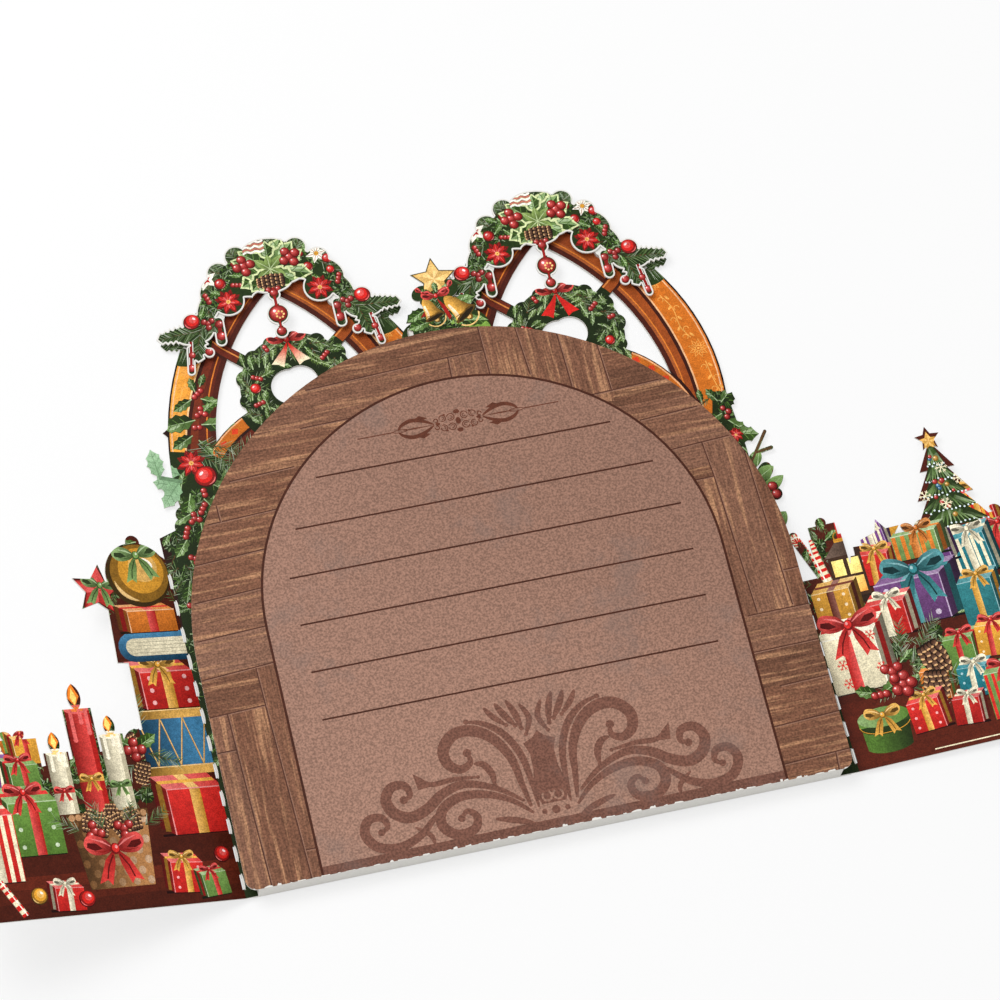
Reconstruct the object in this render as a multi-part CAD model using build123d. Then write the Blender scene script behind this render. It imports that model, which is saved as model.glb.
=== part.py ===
"""Christmas greeting card: a message panel standing off a die-cut window sheet with two wings.

The card lies on its face. X runs across it, Y up it, and Z out of the face that is written on.
The origin is on the table under the middle of the card, origin_up above the bottom crease.
All lengths are millimetres and all angles are degrees.
"""
import math
import os

from build123d import *

# ---------------------------------------------------------------- driving dimensions
card = 0.4                    # thickness of every printed card layer
origin_up = 50.0              # from the bottom crease up to the origin

panel_half_width = 60.7       # message panel: straight sides, then a round top
panel_spring = 46.7           # height at which the round top starts
panel_corner = 2.2            # radius of its two bottom corners
panel_gap = 4.1               # clear space between the window sheet and the panel
flap_depth = 14.0             # glue flap behind the bottom crease

fold_margin_left = 0.3        # the folds stand this far outside the panel's sides, at the bottom edge
fold_margin_right = 1.75
fold_lean = 1.0               # both folds lean this far to the left
wing_width = 61.0             # each wing, from its fold outwards
wing_angle_left = 24.0        # how far the left wing stands up from the sheet
wing_angle_right = 1.5        # and the right one
slit_length = 3.1             # perforation slits along the folds
slit_pitch = 5.75
slit_width = 0.3

arch_left = (-28.8, 120.6)    # centres of the two windows, at the height of their garland baubles
arch_right = (27.6, 120.4)
arch_turn = -1.2              # both windows are printed and cut a little askew

pad_height = 1.2              # foam pads under the garlands
spray_pad_height = 2.0        # foam pad under the bell spray
garland_shift = (-0.26, -0.6) # how far the garlands sit from the windows' centres

# ---------------------------------------------------------------- places that follow from them
fold_left = -(panel_half_width + fold_margin_left)
fold_right = panel_half_width + fold_margin_right

# ---------------------------------------------------------------- heights of the layers
z_backing = 0.0
z_sheet = z_backing + card
z_face = z_sheet + card       # upper face of the window sheet
z_garland = z_face + pad_height
z_spray = z_face + spray_pad_height
z_panel = z_face + panel_gap


# ---------------------------------------------------------------- outlines of the motifs
def disc(x, y, radius):
    """A round ornament or a berry."""
    return Pos(x, y) * Circle(radius)


def oval(x, y, radius_x, radius_y, angle=0.0):
    """A rounded mass of greenery."""
    return Pos(x, y) * Rot(0, 0, angle) * Ellipse(radius_x, radius_y)


def block(x, y, width, height, angle=0.0):
    """A box seen from the front, standing on (x, y)."""
    return Pos(x, y) * Rot(0, 0, angle) * Pos(0, height / 2) * Rectangle(width, height)


def bar(start, end, width):
    """A straight strip with round ends between two points."""
    dx = end[0] - start[0]
    dy = end[1] - start[1]
    length = math.hypot(dx, dy)
    middle = Pos((start[0] + end[0]) / 2, (start[1] + end[1]) / 2)
    turn = Rot(0, 0, math.degrees(math.atan2(dy, dx)))
    return middle * turn * SlotCenterToCenter(length, width)


def outline(points):
    """A straight-sided shape through the given corners."""
    return make_face(Polyline(*points, close=True))


def holly_leaf(x, y, length, width, angle, spines=3):
    """A holly leaf from its stalk at (x, y): hollow arcs between the spines of each side."""
    steps = spines + 1
    upper = [(length * i / steps, width / 2 * math.sin(math.pi * i / steps) ** 0.6) for i in range(1, steps)]
    corners = [(0.0, 0.0)] + upper + [(length, 0.0)]
    lower = [(px, -py) for px, py in reversed(corners[1:-1])]
    corners = corners + lower
    edges = []
    for i, start in enumerate(corners):
        end = corners[(i + 1) % len(corners)]
        middle = ((start[0] + end[0]) / 2, (start[1] + end[1]) / 2 * 0.80)
        if abs(middle[1]) < 0.02:
            edges.append(Line(start, end))
        else:
            edges.append(ThreePointArc(start, middle, end))
    return Pos(x, y) * Rot(0, 0, angle) * make_face(edges)


def petal(x, y, length, width, angle):
    """A pointed petal or ribbon loop from (x, y)."""
    edges = [
        ThreePointArc((0, 0), (length / 2, width / 2), (length, 0)),
        ThreePointArc((length, 0), (length / 2, -width / 2), (0, 0)),
    ]
    return Pos(x, y) * Rot(0, 0, angle) * make_face(edges)


def sprig(x, y, length, width, angle, needles=7):
    """A fir sprig from (x, y): needle tips as teeth along both sides."""
    upper = []
    for i in range(needles):
        along = (i + 1) / (needles + 1)
        reach = width / 2 * (1.0 - 0.55 * along * along)
        upper.append((length * along, reach))
        upper.append((length * (along + 0.35 / needles), reach * 0.66))
    lower = [(px, -py) for px, py in reversed(upper)]
    base = [(0.0, -width * 0.25), (0.0, width * 0.25)]
    return Pos(x, y) * Rot(0, 0, angle) * outline(base + upper + [(length, 0.0)] + lower)


def star(x, y, radius, angle=0.0, inner=0.48):
    """A five-pointed star standing on two points."""
    points = []
    for i in range(10):
        reach = radius if i % 2 == 0 else radius * inner
        turn = math.radians(90 + 36 * i)
        points.append((reach * math.cos(turn), reach * math.sin(turn)))
    return Pos(x, y) * Rot(0, 0, angle) * outline(points)


def bell(x, y, height, angle):
    """A bell hung from (x, y), with its clapper."""
    mouth = height * 0.47
    edges = [
        ThreePointArc((-mouth, -height), (-height * 0.22, -height * 0.55), (-height * 0.2, -height * 0.14)),
        ThreePointArc((-height * 0.2, -height * 0.14), (0, 0), (height * 0.2, -height * 0.14)),
        ThreePointArc((height * 0.2, -height * 0.14), (height * 0.22, -height * 0.55), (mouth, -height)),
        ThreePointArc((mouth, -height), (0, -height * 1.14), (-mouth, -height)),
    ]
    body = make_face(edges) + disc(0, -height * 1.18, height * 0.11)
    return Pos(x, y) * Rot(0, 0, angle) * body


def gift(x, y, width, height, angle=0.0):
    """A wrapped box standing on (x, y), with a ribbon bow on its lid."""
    loops = [petal(0, height - 0.2, width * 0.32, width * 0.2, a) for a in (35, 145)]
    body = Rectangle(width, height)
    return Pos(x, y) * Rot(0, 0, angle) * (Pos(0, height / 2) * body + loops + disc(0, height, width * 0.07))


def joined(shapes):
    """All the shapes as one outline."""
    return Sketch() + shapes


def filled(shapes):
    """All the shapes as one outline, with the small gaps between them closed."""
    return joined([make_face(face.outer_wire()) for face in joined(shapes).faces()])


def plate(shape, z):
    """One card layer with this outline, its lower face at z."""
    return extrude(Pos(0, 0, z) * shape, amount=card)


def turned(place, shape):
    """A shape drawn about a window's centre, put where that window is."""
    return Pos(*place) * Rot(0, 0, arch_turn) * shape


# ---------------------------------------------------------------- message panel
def panel_outline():
    sides = Pos(0, panel_spring / 2) * Rectangle(2 * panel_half_width, panel_spring)
    sides = fillet(sides.vertices().group_by(Axis.Y)[0], panel_corner)
    upper = Pos(0, panel_spring + panel_half_width / 2) * Rectangle(2 * panel_half_width, panel_half_width)
    return sides + (disc(0, panel_spring, panel_half_width) & upper)


def message_panel():
    """Round-topped panel, its bottom crease, the narrow spine and the glue flap, as one folded card."""
    spine_width = 2 * (panel_half_width - panel_corner)
    spine = Pos(0, card / 2, (z_face + z_panel + card) / 2) * Box(spine_width, card, panel_gap + card)
    flap = Pos(0, flap_depth / 2, z_face + card / 2) * Box(spine_width, flap_depth, card)
    return plate(panel_outline(), z_panel) + spine + flap


def foam_strip(x):
    """Foam strip that holds the panel off the window sheet."""
    width = 6.0
    bottom = 20.0
    top = 74.0
    return Pos(x, (bottom + top) / 2, z_face + panel_gap / 2) * Box(width, top - bottom, panel_gap)


# ---------------------------------------------------------------- windows
window_bottom = -52.0         # the windows run this far down behind the panel
outer_arc_right = ((-16.0, -32.5), 46.3)
outer_arc_left = ((32.3, -33.0), 60.0)
opening_arc_right = ((-29.5, -37.1), 50.0)
opening_arc_left = ((30.2, -32.15), 48.1)
wreath_centre = (0.9, -17.8)
wreath_radius = 12.3
hole_centre = (0.3, -17.5)
hole_radius = 4.7
tracery_centre = (0.0, -44.0)
tracery_radius = 24.6
mullion_width = 2.6


def pointed_arch(arc_right, arc_left, bottom):
    """Where two discs overlap, down to the bottom line."""
    both = disc(*arc_right[0], arc_right[1]) & disc(*arc_left[0], arc_left[1])
    cut = Pos(0, bottom + 60) * Rectangle(160, 120)
    return both & cut


def window_outline():
    return pointed_arch(outer_arc_right, outer_arc_left, window_bottom)


def wreath_outline():
    """Bumpy ring of greenery; its bow and tails hang into the hole."""
    tufts = 14
    shapes = [disc(*wreath_centre, wreath_radius - 0.5)]
    for i in range(tufts):
        turn = 2 * math.pi * (i + 0.3) / tufts
        reach = wreath_radius - 1.5
        x = wreath_centre[0] + reach * math.cos(turn)
        y = wreath_centre[1] + reach * math.sin(turn)
        shapes.append(disc(x, y, 1.7 + 0.25 * math.sin(3 * turn)))
    ring = joined(shapes)
    hole = joined([
        disc(hole_centre[0] - 1.1, hole_centre[1], hole_radius - 0.9),
        disc(hole_centre[0] + 1.3, hole_centre[1] + 0.6, hole_radius - 1.1),
        disc(hole_centre[0] + 0.2, hole_centre[1] - 1.6, hole_radius - 1.2),
    ])
    return ring, hole


def window_openings():
    """The panes: top light, two side lights and the hole of the wreath."""
    ring, hole = wreath_outline()
    panes = pointed_arch(opening_arc_right, opening_arc_left, tracery_centre[1])
    panes = panes - ring - disc(*tracery_centre, tracery_radius)
    for side in (-1, 1):
        panes = panes - bar((side * 12.6, -7.4), (side * 6.0, -13.0), mullion_width)
    clear = [face for face in panes.faces() if face.area > 4.0]
    return clear + hole.faces()


def both_windows(shapes):
    return [turned(place, shape) for place in (arch_left, arch_right) for shape in shapes]


def sheet_base():
    """The sheet between the folds, up to the shoulders of the windows."""
    lean = math.tan(math.radians(fold_lean))
    left_top = 76.0
    right_top = 53.0
    return outline([
        (fold_left, 0.0),
        (fold_right, 0.0),
        (fold_right - lean * right_top, right_top),
        (58.2, right_top + 2.0),
        (58.0, 72.0),
        (56.6, 90.0),
        (-56.2, 90.0),
        (-57.4, left_top + 1.5),
        (fold_left - lean * left_top, left_top),
    ])


def gable_outline():
    """Green bush between the two windows, behind the bell spray."""
    return joined([disc(1.5, 104.5, 6.5), disc(7.0, 105.0, 5.0), disc(-1.5, 108.0, 4.0), disc(3.0, 109.0, 4.2)])


def side_sprigs():
    """Leaves, twigs and berries that stand out past both sides of the windows."""
    left = [
        holly_leaf(-51.0, 97.0, 6.3, 4.2, 170.0),
        holly_leaf(-56.4, 86.2, 5.2, 3.4, 158.0),
        holly_leaf(-59.6, 88.6, 6.6, 3.6, 97.0),
        holly_leaf(-56.0, 86.8, 6.2, 3.8, 228.0),
        bar((-55.5, 87.0), (-59.8, 88.8), 0.9),
        disc(-56.6, 80.2, 1.6),
        disc(-57.0, 77.6, 1.9),
    ]
    right = [
        holly_leaf(55.5, 80.5, 4.4, 3.0, 52.0),
        holly_leaf(55.0, 78.5, 7.0, 3.8, 312.0),
        holly_leaf(55.2, 75.0, 6.2, 4.0, 350.0),
        bar((57.0, 66.5), (62.6, 74.2), 0.7),
        bar((59.6, 70.0), (63.0, 70.5), 0.8),
        oval(59.0, 68.6, 1.3, 2.0, 320.0),
        petal(57.8, 64.0, 5.2, 2.6, 28.0),
        petal(58.5, 61.0, 6.2, 2.6, 30.0),
        disc(61.0, 62.3, 1.3),
        disc(61.4, 60.5, 1.3),
        oval(60.2, 65.4, 2.4, 1.5, 60.0),
        petal(58.2, 52.6, 5.6, 3.2, 42.0),
    ]
    return left + right


def garland_tabs():
    """Fir tips of the window sheet under the free ends of the garlands."""
    return [sprig(side * 17.0, -4.1, 7.9, 4.6, 90.0 - side * 91.0) for side in (-1, 1)]


def centre_outline():
    shapes = [sheet_base(), gable_outline()] + both_windows([window_outline()])
    return filled(shapes)


def cut_openings(shape):
    for opening in both_windows(window_openings()):
        shape = shape - opening
    return shape


# ---------------------------------------------------------------- wings
def left_wing_outline():
    """Stacked toys, candles and gifts, drawn from the fold outwards and up from the bottom edge."""
    return filled([
        outline([(0, 0), (wing_width, 0), (wing_width, 28.0), (36.0, 30.0), (18.0, 33.0), (0, 33.0)]),
        block(7.0, 20.0, 14.0, 40.5, 1.5),
        disc(6.8, 68.3, 7.0),
        disc(6.4, 75.4, 1.5),
        star(16.2, 65.6, 5.6, 12.0),
        block(13.2, 50.0, 4.6, 12.0, 3.0),
        oval(3.0, 63.0, 4.2, 9.5, 8.0),
        sprig(10.0, 33.0, 7.0, 4.6, 20.0),
        oval(15.2, 32.6, 3.0, 3.6),
        block(20.5, 26.0, 5.0, 9.5),
        petal(20.5, 35.0, 4.4, 2.4, 90.0),
        block(26.5, 26.0, 6.0, 15.2),
        petal(26.5, 40.8, 5.6, 2.8, 90.0),
        block(32.8, 26.0, 5.2, 6.6),
        petal(32.8, 32.2, 4.6, 2.4, 90.0),
        gift(41.0, 20.0, 9.5, 15.8),
        gift(50.2, 20.0, 8.0, 11.6, -2.0),
        gift(57.2, 20.0, 7.2, 14.6),
    ])


def right_wing_outline():
    """Candy cane, lantern, gifts and a fir tree, drawn from the fold outwards."""
    return filled([
        outline([(0, 0), (wing_width, 0), (wing_width, 41.0), (47.0, 43.0), (11.0, 44.0), (10.0, 41.0), (0, 41.0)]),
        bar((5.4, 38.0), (0.8, 50.6), 1.9),
        block(7.0, 34.0, 6.8, 15.2),
        block(7.0, 48.6, 5.6, 3.2),
        disc(7.0, 52.3, 1.1),
        gift(15.2, 34.0, 7.6, 11.6, -3.0),
        star(18.6, 46.4, 4.2, 8.0),
        gift(25.2, 34.0, 9.6, 12.6),
        outline([(25.6, 46.0), (41.4, 46.0), (37.4, 52.2), (39.4, 52.2), (35.6, 58.2), (37.2, 58.2),
                 (33.5, 64.4), (29.8, 58.2), (31.4, 58.2), (27.6, 52.2), (29.6, 52.2)]),
        star(33.5, 65.0, 2.7),
        block(33.5, 36.0, 12.0, 11.0),
        gift(44.2, 34.0, 8.4, 12.8, 2.0),
        gift(53.8, 34.0, 9.4, 9.2),
        disc(59.4, 38.6, 1.6),
    ])


def wing_plane(fold_x, angle, side):
    """Plane on the lower face of a wing: its X runs outwards, its Y up the fold."""
    lean = math.radians(fold_lean)
    rise = math.radians(angle)
    across = Vector(side * math.cos(lean), side * math.sin(lean), 0)
    outward = across * math.cos(rise) + Vector(0, 0, math.sin(rise))
    up_fold = Vector(-math.sin(lean), math.cos(lean), 0)
    return Plane(origin=(fold_x, 0, z_sheet), x_dir=outward, z_dir=outward.cross(up_fold))


def wing(shape, fold_x, angle, side):
    return extrude(wing_plane(fold_x, angle, side) * shape, amount=side * card)


def fold_slits(fold_x, height):
    """Perforation slits along one fold."""
    lean = math.radians(fold_lean)
    slits = []
    for i in range(int(height / slit_pitch)):
        up = 1.8 + slit_length / 2 + i * slit_pitch
        place = Pos(fold_x - math.sin(lean) * up, math.cos(lean) * up, z_face)
        slits.append(place * Rot(0, 0, fold_lean) * Box(slit_width, slit_length, 4 * card))
    return slits


def window_sheet():
    """The printed sheet with its two wings, all one piece of card folded at the slits."""
    tabs = both_windows(garland_tabs())
    flat = cut_openings(filled([centre_outline()] + tabs + side_sprigs()))
    sheet = plate(flat, z_sheet)
    sheet = sheet + wing(left_wing_outline(), fold_left, wing_angle_left, -1)
    sheet = sheet + wing(right_wing_outline(), fold_right, wing_angle_right, 1)
    for slit in fold_slits(fold_left, 70.0) + fold_slits(fold_right, 50.0):
        sheet = sheet - slit
    return sheet


def backing_ply():
    """Second ply behind the middle of the window sheet, with the same windows."""
    margin = 1.6
    inside = Pos((fold_left + fold_right) / 2, 70) * Rectangle(fold_right - fold_left - 2 * margin, 140)
    return plate(cut_openings(centre_outline() & inside), z_backing)


# ---------------------------------------------------------------- raised layers
def garland_outline():
    """Holly, fir, baubles and berries over a window, with one bauble hung on a string."""
    shapes = [oval(0.0, 9.4, 9.4, 4.9), oval(0.0, 6.0, 4.4, 2.6)]
    for angle, reach in ((62, 6.6), (90, 5.6), (118, 6.2), (28, 8.6), (152, 8.8), (196, 8.6), (-14, 8.8), (214, 8.4)):
        shapes.append(holly_leaf(0.3, 8.6, reach + 0.9, 4.6, angle))
    for side in (-1, 1):
        shapes += [
            disc(side * 6.2, 12.7, 2.4),
            disc(side * 10.3, 9.6, 2.5),
            oval(side * 12.4, 6.4, 2.2, 3.4, side * 38.0),
            oval(side * 13.6, 2.6, 2.3, 4.0, side * 30.0),
            oval(side * 15.4, -1.8, 2.3, 3.2, side * 18.0),
            disc(side * 9.4, 3.2, 3.3),
            disc(side * 17.6, -0.3, 2.1),
            oval(side * 18.3, -3.0, 3.2, 2.2),
            sprig(side * 17.0, -2.2, 8.4, 4.8, 90.0 - side * 94.0),
            sprig(side * 16.6, -3.0, 6.4, 4.4, -90.0 + side * 12.0, needles=5),
            bar((side * 18.9, -6.0), (side * 19.6, -10.9), 1.7),
            bar((side * 12.3, -1.0), (side * 12.4, -5.3), 2.3),
            disc(side * 15.3, -7.4, 1.1),
        ]
    shapes += [
        bar((0.0, 4.6), (0.0, -6.0), 1.2),
        disc(0.0, 3.0, 1.3),
        disc(0.0, -1.4, 2.3),
        disc(0.0, -5.4, 1.4),
        oval(0.0, 13.6, 4.8, 2.3),
    ]
    return filled(shapes)


def garland(place):
    centre = (place[0] + garland_shift[0], place[1] + garland_shift[1])
    return plate(turned(centre, garland_outline()), z_garland)


def garland_pads(place):
    """Three round foam pads under one garland."""
    centre = (place[0] + garland_shift[0], place[1] + garland_shift[1])
    pads = [Pos(x, y) * Circle(r) for x, y, r in ((0.0, 8.6, 2.6), (-12.6, 0.6, 1.9), (12.4, 0.6, 1.9))]
    shape = turned(centre, joined(pads))
    return extrude(Pos(0, 0, z_face) * shape, amount=pad_height)


def bell_spray_outline():
    """Star, two bells, ribbon and leaves, rising between the windows."""
    return filled([
        star(3.6, 119.6, 4.9, -4.0),
        bell(0.4, 115.9, 5.2, 20.0),
        bell(4.6, 115.6, 6.4, 38.0),
        petal(3.2, 115.8, 4.0, 3.2, 158.0),
        petal(3.2, 115.8, 4.4, 3.6, 22.0),
        disc(6.0, 117.1, 2.0),
        oval(0.2, 117.0, 2.0, 1.5, 30.0),
        oval(3.4, 108.6, 6.6, 4.6),
        oval(8.0, 108.0, 4.8, 4.0, -20.0),
        holly_leaf(0.8, 113.4, 5.4, 3.0, 205.0),
        holly_leaf(1.0, 110.6, 5.2, 3.0, 192.0),
        holly_leaf(5.6, 113.6, 5.6, 3.0, 6.0),
        holly_leaf(6.6, 109.0, 6.4, 3.4, -18.0),
        bar((1.0, 107.0), (9.0, 105.2), 4.4),
    ])


def bell_spray():
    return plate(bell_spray_outline(), z_spray)


def spray_pad():
    shape = Pos(0.0, 107.9) * Rectangle(8.0, 4.2)
    return extrude(Pos(0, 0, z_face) * shape, amount=spray_pad_height)


# ---------------------------------------------------------------- the card
def pieces():
    return {
        "backing_ply": backing_ply(),
        "window_sheet": window_sheet(),
        "message_panel": message_panel(),
        "foam_strip_left": foam_strip(-40.0),
        "foam_strip_right": foam_strip(40.0),
        "garland_pads_left": garland_pads(arch_left),
        "garland_pads_right": garland_pads(arch_right),
        "garland_left": garland(arch_left),
        "garland_right": garland(arch_right),
        "bell_spray_pad": spray_pad(),
        "bell_spray": bell_spray(),
    }


os.makedirs("parts", exist_ok=True)
for name, solid in pieces().items():
    export_step(Pos(0, -origin_up, 0) * solid, f"parts/{name}.step")
    print(name, "volume", round(solid.volume, 1), "solids", len(solid.solids()))
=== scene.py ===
"""Looks of a layered Christmas greeting card that lies open with its writing side up.

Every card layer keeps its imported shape. The ink on it is a thin film of flat coloured shapes that lies on
its upper face, cut along the card's own edges, and procedural paper grain runs through ink and card alike.
"""
import math
import random

import bpy
from mathutils import Matrix, Vector
from mathutils.geometry import delaunay_2d_cdt


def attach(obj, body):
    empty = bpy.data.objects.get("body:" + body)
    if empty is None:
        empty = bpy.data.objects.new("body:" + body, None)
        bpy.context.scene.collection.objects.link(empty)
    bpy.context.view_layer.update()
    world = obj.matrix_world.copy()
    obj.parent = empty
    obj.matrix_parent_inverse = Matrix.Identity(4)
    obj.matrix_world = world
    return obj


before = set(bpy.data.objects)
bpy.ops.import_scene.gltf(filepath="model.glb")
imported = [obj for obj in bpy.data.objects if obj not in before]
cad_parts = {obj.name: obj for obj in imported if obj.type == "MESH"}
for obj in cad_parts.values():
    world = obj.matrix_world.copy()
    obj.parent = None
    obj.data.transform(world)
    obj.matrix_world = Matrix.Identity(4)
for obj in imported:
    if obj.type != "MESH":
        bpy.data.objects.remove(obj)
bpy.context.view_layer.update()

bl_info = {
    "name": "Layered Christmas Card",
    "version": (1, 0, 0),
    "blender": (4, 5, 0),
    "location": "3D View > Sidebar > Card",
    "description": "Prints and finishes a die-cut Christmas card, layer by layer",
    "category": "Object",
}

MM = 0.001

# ---------------------------------------------------------------- places on the card, in millimetres
CREASE_Y = -50.0                 # the bottom crease in the frame
CARD = 0.4                       # thickness of a card layer
SHEET_TOP = 0.8                  # upper face of the window sheet
GARLAND_TOP = 2.4
SPRAY_TOP = 3.2
PANEL_TOP = 5.3
FILM = 0.012                     # the ink film lies this far above the card
FOLD_X = {-1: -61.0, 1: 62.45}   # the two folds at the bottom edge
FOLD_LEAN = 1.0                  # degrees
WING_ANGLE = {-1: 24.0, 1: 1.5}
SLIT_PITCH = 5.75
SLIT_LENGTH = 3.1
WINDOWS = ((-28.8, 120.6), (27.6, 120.4))
WINDOW_TURN = -1.2
GARLAND_SHIFT = (-0.26, -0.6)

# arcs of the windows, about each window's centre: (x, y), radius
OUTER_RIGHT = ((-16.0, -32.5), 46.3)
OUTER_LEFT = ((32.3, -33.0), 60.0)
BEVEL_RIGHT = ((-34.9, -37.3), 59.2)
BEVEL_LEFT = ((34.9, -37.3), 59.2)
PANE_RIGHT = ((-29.5, -37.1), 50.0)
PANE_LEFT = ((30.2, -32.15), 48.1)
WREATH = (0.9, -17.8)
WREATH_RADIUS = 12.3
TRACERY = (0.0, -44.0)
TRACERY_RADIUS = 24.6

# writing panel
PANEL_HALF = 60.7
FIELD_X = 0.55
FIELD_HALF = 46.2
FIELD_SPRING = 51.4
FIELD_RISE = 44.9


# ---------------------------------------------------------------- settings
class CardColours(bpy.types.PropertyGroup):
    """Inks of the card, as they are seen on paper."""

    def ink(name, description, colour):
        return bpy.props.FloatVectorProperty(
            name=name, description=description, default=[c / 255 for c in colour],
            size=3, min=0.0, max=1.0, subtype="COLOR_GAMMA")

    green: ink("Leaf green", "Middle green of holly and fir", (84, 126, 40))
    red: ink("Berry red", "Red of berries, ribbons and baubles", (206, 34, 28))
    gold: ink("Gold", "Bells, stars and gilded ribbons", (224, 158, 50))
    orange: ink("Window band", "Painted wood round the windows", (208, 112, 32))
    maroon: ink("Deep red brown", "Window frames and the floor under the gifts", (100, 36, 20))
    cream: ink("Cream", "Candles, paper and pale petals", (238, 226, 190))
    blue: ink("Blue", "Drum, book covers and ribbons", (40, 108, 152))
    wood: ink("Board brown", "Boards round the writing field", (122, 82, 62))
    streak: ink("Board streaks", "Light streaks in the boards", (188, 140, 104))
    field: ink("Writing field", "Ground of the writing field", (153, 115, 98))
    scroll: ink("Scrollwork", "Scrolls printed on the field", (116, 78, 65))
    line: ink("Lines", "Writing lines, seams and borders", (66, 32, 20))


class CardSizes(bpy.types.PropertyGroup):
    """Sizes of the printed lines and of the paper's grain."""

    def length(name, description, millimetres):
        return bpy.props.FloatProperty(
            name=name, description=description, default=millimetres * MM, min=0.0, subtype="DISTANCE",
            unit="LENGTH", precision=5)

    line_width: length("Line width", "Width of a writing line", 0.36)
    line_pitch: length("Line spacing", "Distance from one writing line to the next", 10.0)
    border_width: length("Border width", "Width of the line round the writing field", 0.5)
    seam_width: length("Seam width", "Width of the lines between the boards", 0.26)
    grain_height: length("Grain height", "Height of the paper's grain", 0.012)


class CardStage(bpy.types.PropertyGroup):
    """Floor and lights."""

    floor_size: bpy.props.FloatProperty(
        name="Floor size", description="Side of the floor", default=3.0, subtype="DISTANCE", unit="LENGTH")
    floor_white: bpy.props.FloatProperty(
        name="Floor whiteness", description="Share of the floor that shows plain white", default=0.86,
        min=0.0, max=1.0, subtype="FACTOR")
    sky_strength: bpy.props.FloatProperty(
        name="Sky light", description="Strength of the light from all round", default=0.62, min=0.0)
    key_power: bpy.props.FloatProperty(
        name="Key light", description="Power of the large soft lamp", default=7.0, min=0.0, subtype="POWER",
        unit="POWER")


def colours():
    return bpy.context.scene.card_colours


def inks(*names):
    """The named colours of the card, as plain numbers."""
    return [tuple(getattr(colours(), name)) for name in names]


def sizes():
    return bpy.context.scene.card_sizes


# ---------------------------------------------------------------- colour
WHITE = (0.96, 0.95, 0.93)


def tone(colour, step):
    """The colour made darker, for a step below 0 and down to -1, or lighter, up to 1."""
    end = 1.0 if step > 0 else 0.0
    return tuple(c + (end - c) * abs(step) for c in colour)


def between(first, second, share):
    return tuple(a + (b - a) * share for a, b in zip(first, second))


def linear(colour):
    """Light that an ink of this seen colour sends back."""
    return tuple(c / 12.92 if c <= 0.04045 else ((c + 0.055) / 1.055) ** 2.4 for c in colour)


def shade(first, second, start, end):
    """A tint that runs evenly from the first colour at start to the second at end."""
    dx = end[0] - start[0]
    dy = end[1] - start[1]
    span = dx * dx + dy * dy

    def tint(x, y):
        share = ((x - start[0]) * dx + (y - start[1]) * dy) / span
        return between(first, second, min(max(share, 0.0), 1.0))

    return tint


# ---------------------------------------------------------------- points of plain shapes
def circle(x, y, radius, count=None):
    return oval(x, y, radius, radius, 0.0, count)


def oval(x, y, across, up, turn=0.0, count=None):
    count = count or max(9, min(40, int(9 + 5 * max(across, up))))
    cos_turn = math.cos(math.radians(turn))
    sin_turn = math.sin(math.radians(turn))
    points = []
    for i in range(count):
        angle = 2 * math.pi * i / count
        px = across * math.cos(angle)
        py = up * math.sin(angle)
        points.append((x + px * cos_turn - py * sin_turn, y + px * sin_turn + py * cos_turn))
    return points


def arc(x, y, radius, start, end, count=12):
    step = math.radians(end - start) / count
    first = math.radians(start)
    return [(x + radius * math.cos(first + step * i), y + radius * math.sin(first + step * i))
            for i in range(count + 1)]


def box(x, y, width, height):
    """Corners of a rectangle that stands on (x, y)."""
    return [(x - width / 2, y), (x + width / 2, y), (x + width / 2, y + height), (x - width / 2, y + height)]


def flowing(points, per=5):
    """The points of a smooth curve through the given ones."""
    out = []
    last = len(points) - 1
    for i in range(last):
        a = points[max(i - 1, 0)]
        b = points[i]
        c = points[i + 1]
        d = points[min(i + 2, last)]
        for k in range(per):
            t = k / per
            out.append(tuple(0.5 * (2 * b[j] + (c[j] - a[j]) * t + (2 * a[j] - 5 * b[j] + 4 * c[j] - d[
                j]) * t * t + (3 * b[j] - a[j] - 3 * c[j] + d[j]) * t ** 3) for j in (0, 1)))
    return out + [points[last]]


def pointed_arch(right, left, bottom, count=26):
    """Corners of a pointed arch between a right-hand and a left-hand arc, from its bottom left corner on."""
    def side(edge, y, sign):
        (cx, cy), radius = edge
        return cx + sign * math.sqrt(max(radius * radius - (y - cy) ** 2, 0.0))

    low = bottom
    high = min(right[0][1] + right[1], left[0][1] + left[1])
    for _ in range(40):
        middle = (low + high) / 2
        if side(right, middle, 1) > side(left, middle, -1):
            low = middle
        else:
            high = middle
    heights = [bottom + (low - bottom) * math.sin(math.pi / 2 * i / count) for i in range(count)]
    left_side = [(side(left, y, -1), y) for y in heights]
    right_side = [(side(right, y, 1), y) for y in heights]
    return left_side + [(side(right, low, 1), low)] + right_side[::-1]


def arch_field(grow=0.0, foot=0.0):
    """Outline of the writing field, grown by so much."""
    half = FIELD_HALF + grow
    rise = FIELD_RISE + grow
    top = [(FIELD_X + half * math.cos(math.pi * i / 48), FIELD_SPRING + rise * math.sin(math.pi * i / 48))
           for i in range(49)]
    return [(FIELD_X - half, foot), (FIELD_X + half, foot)] + top


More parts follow.
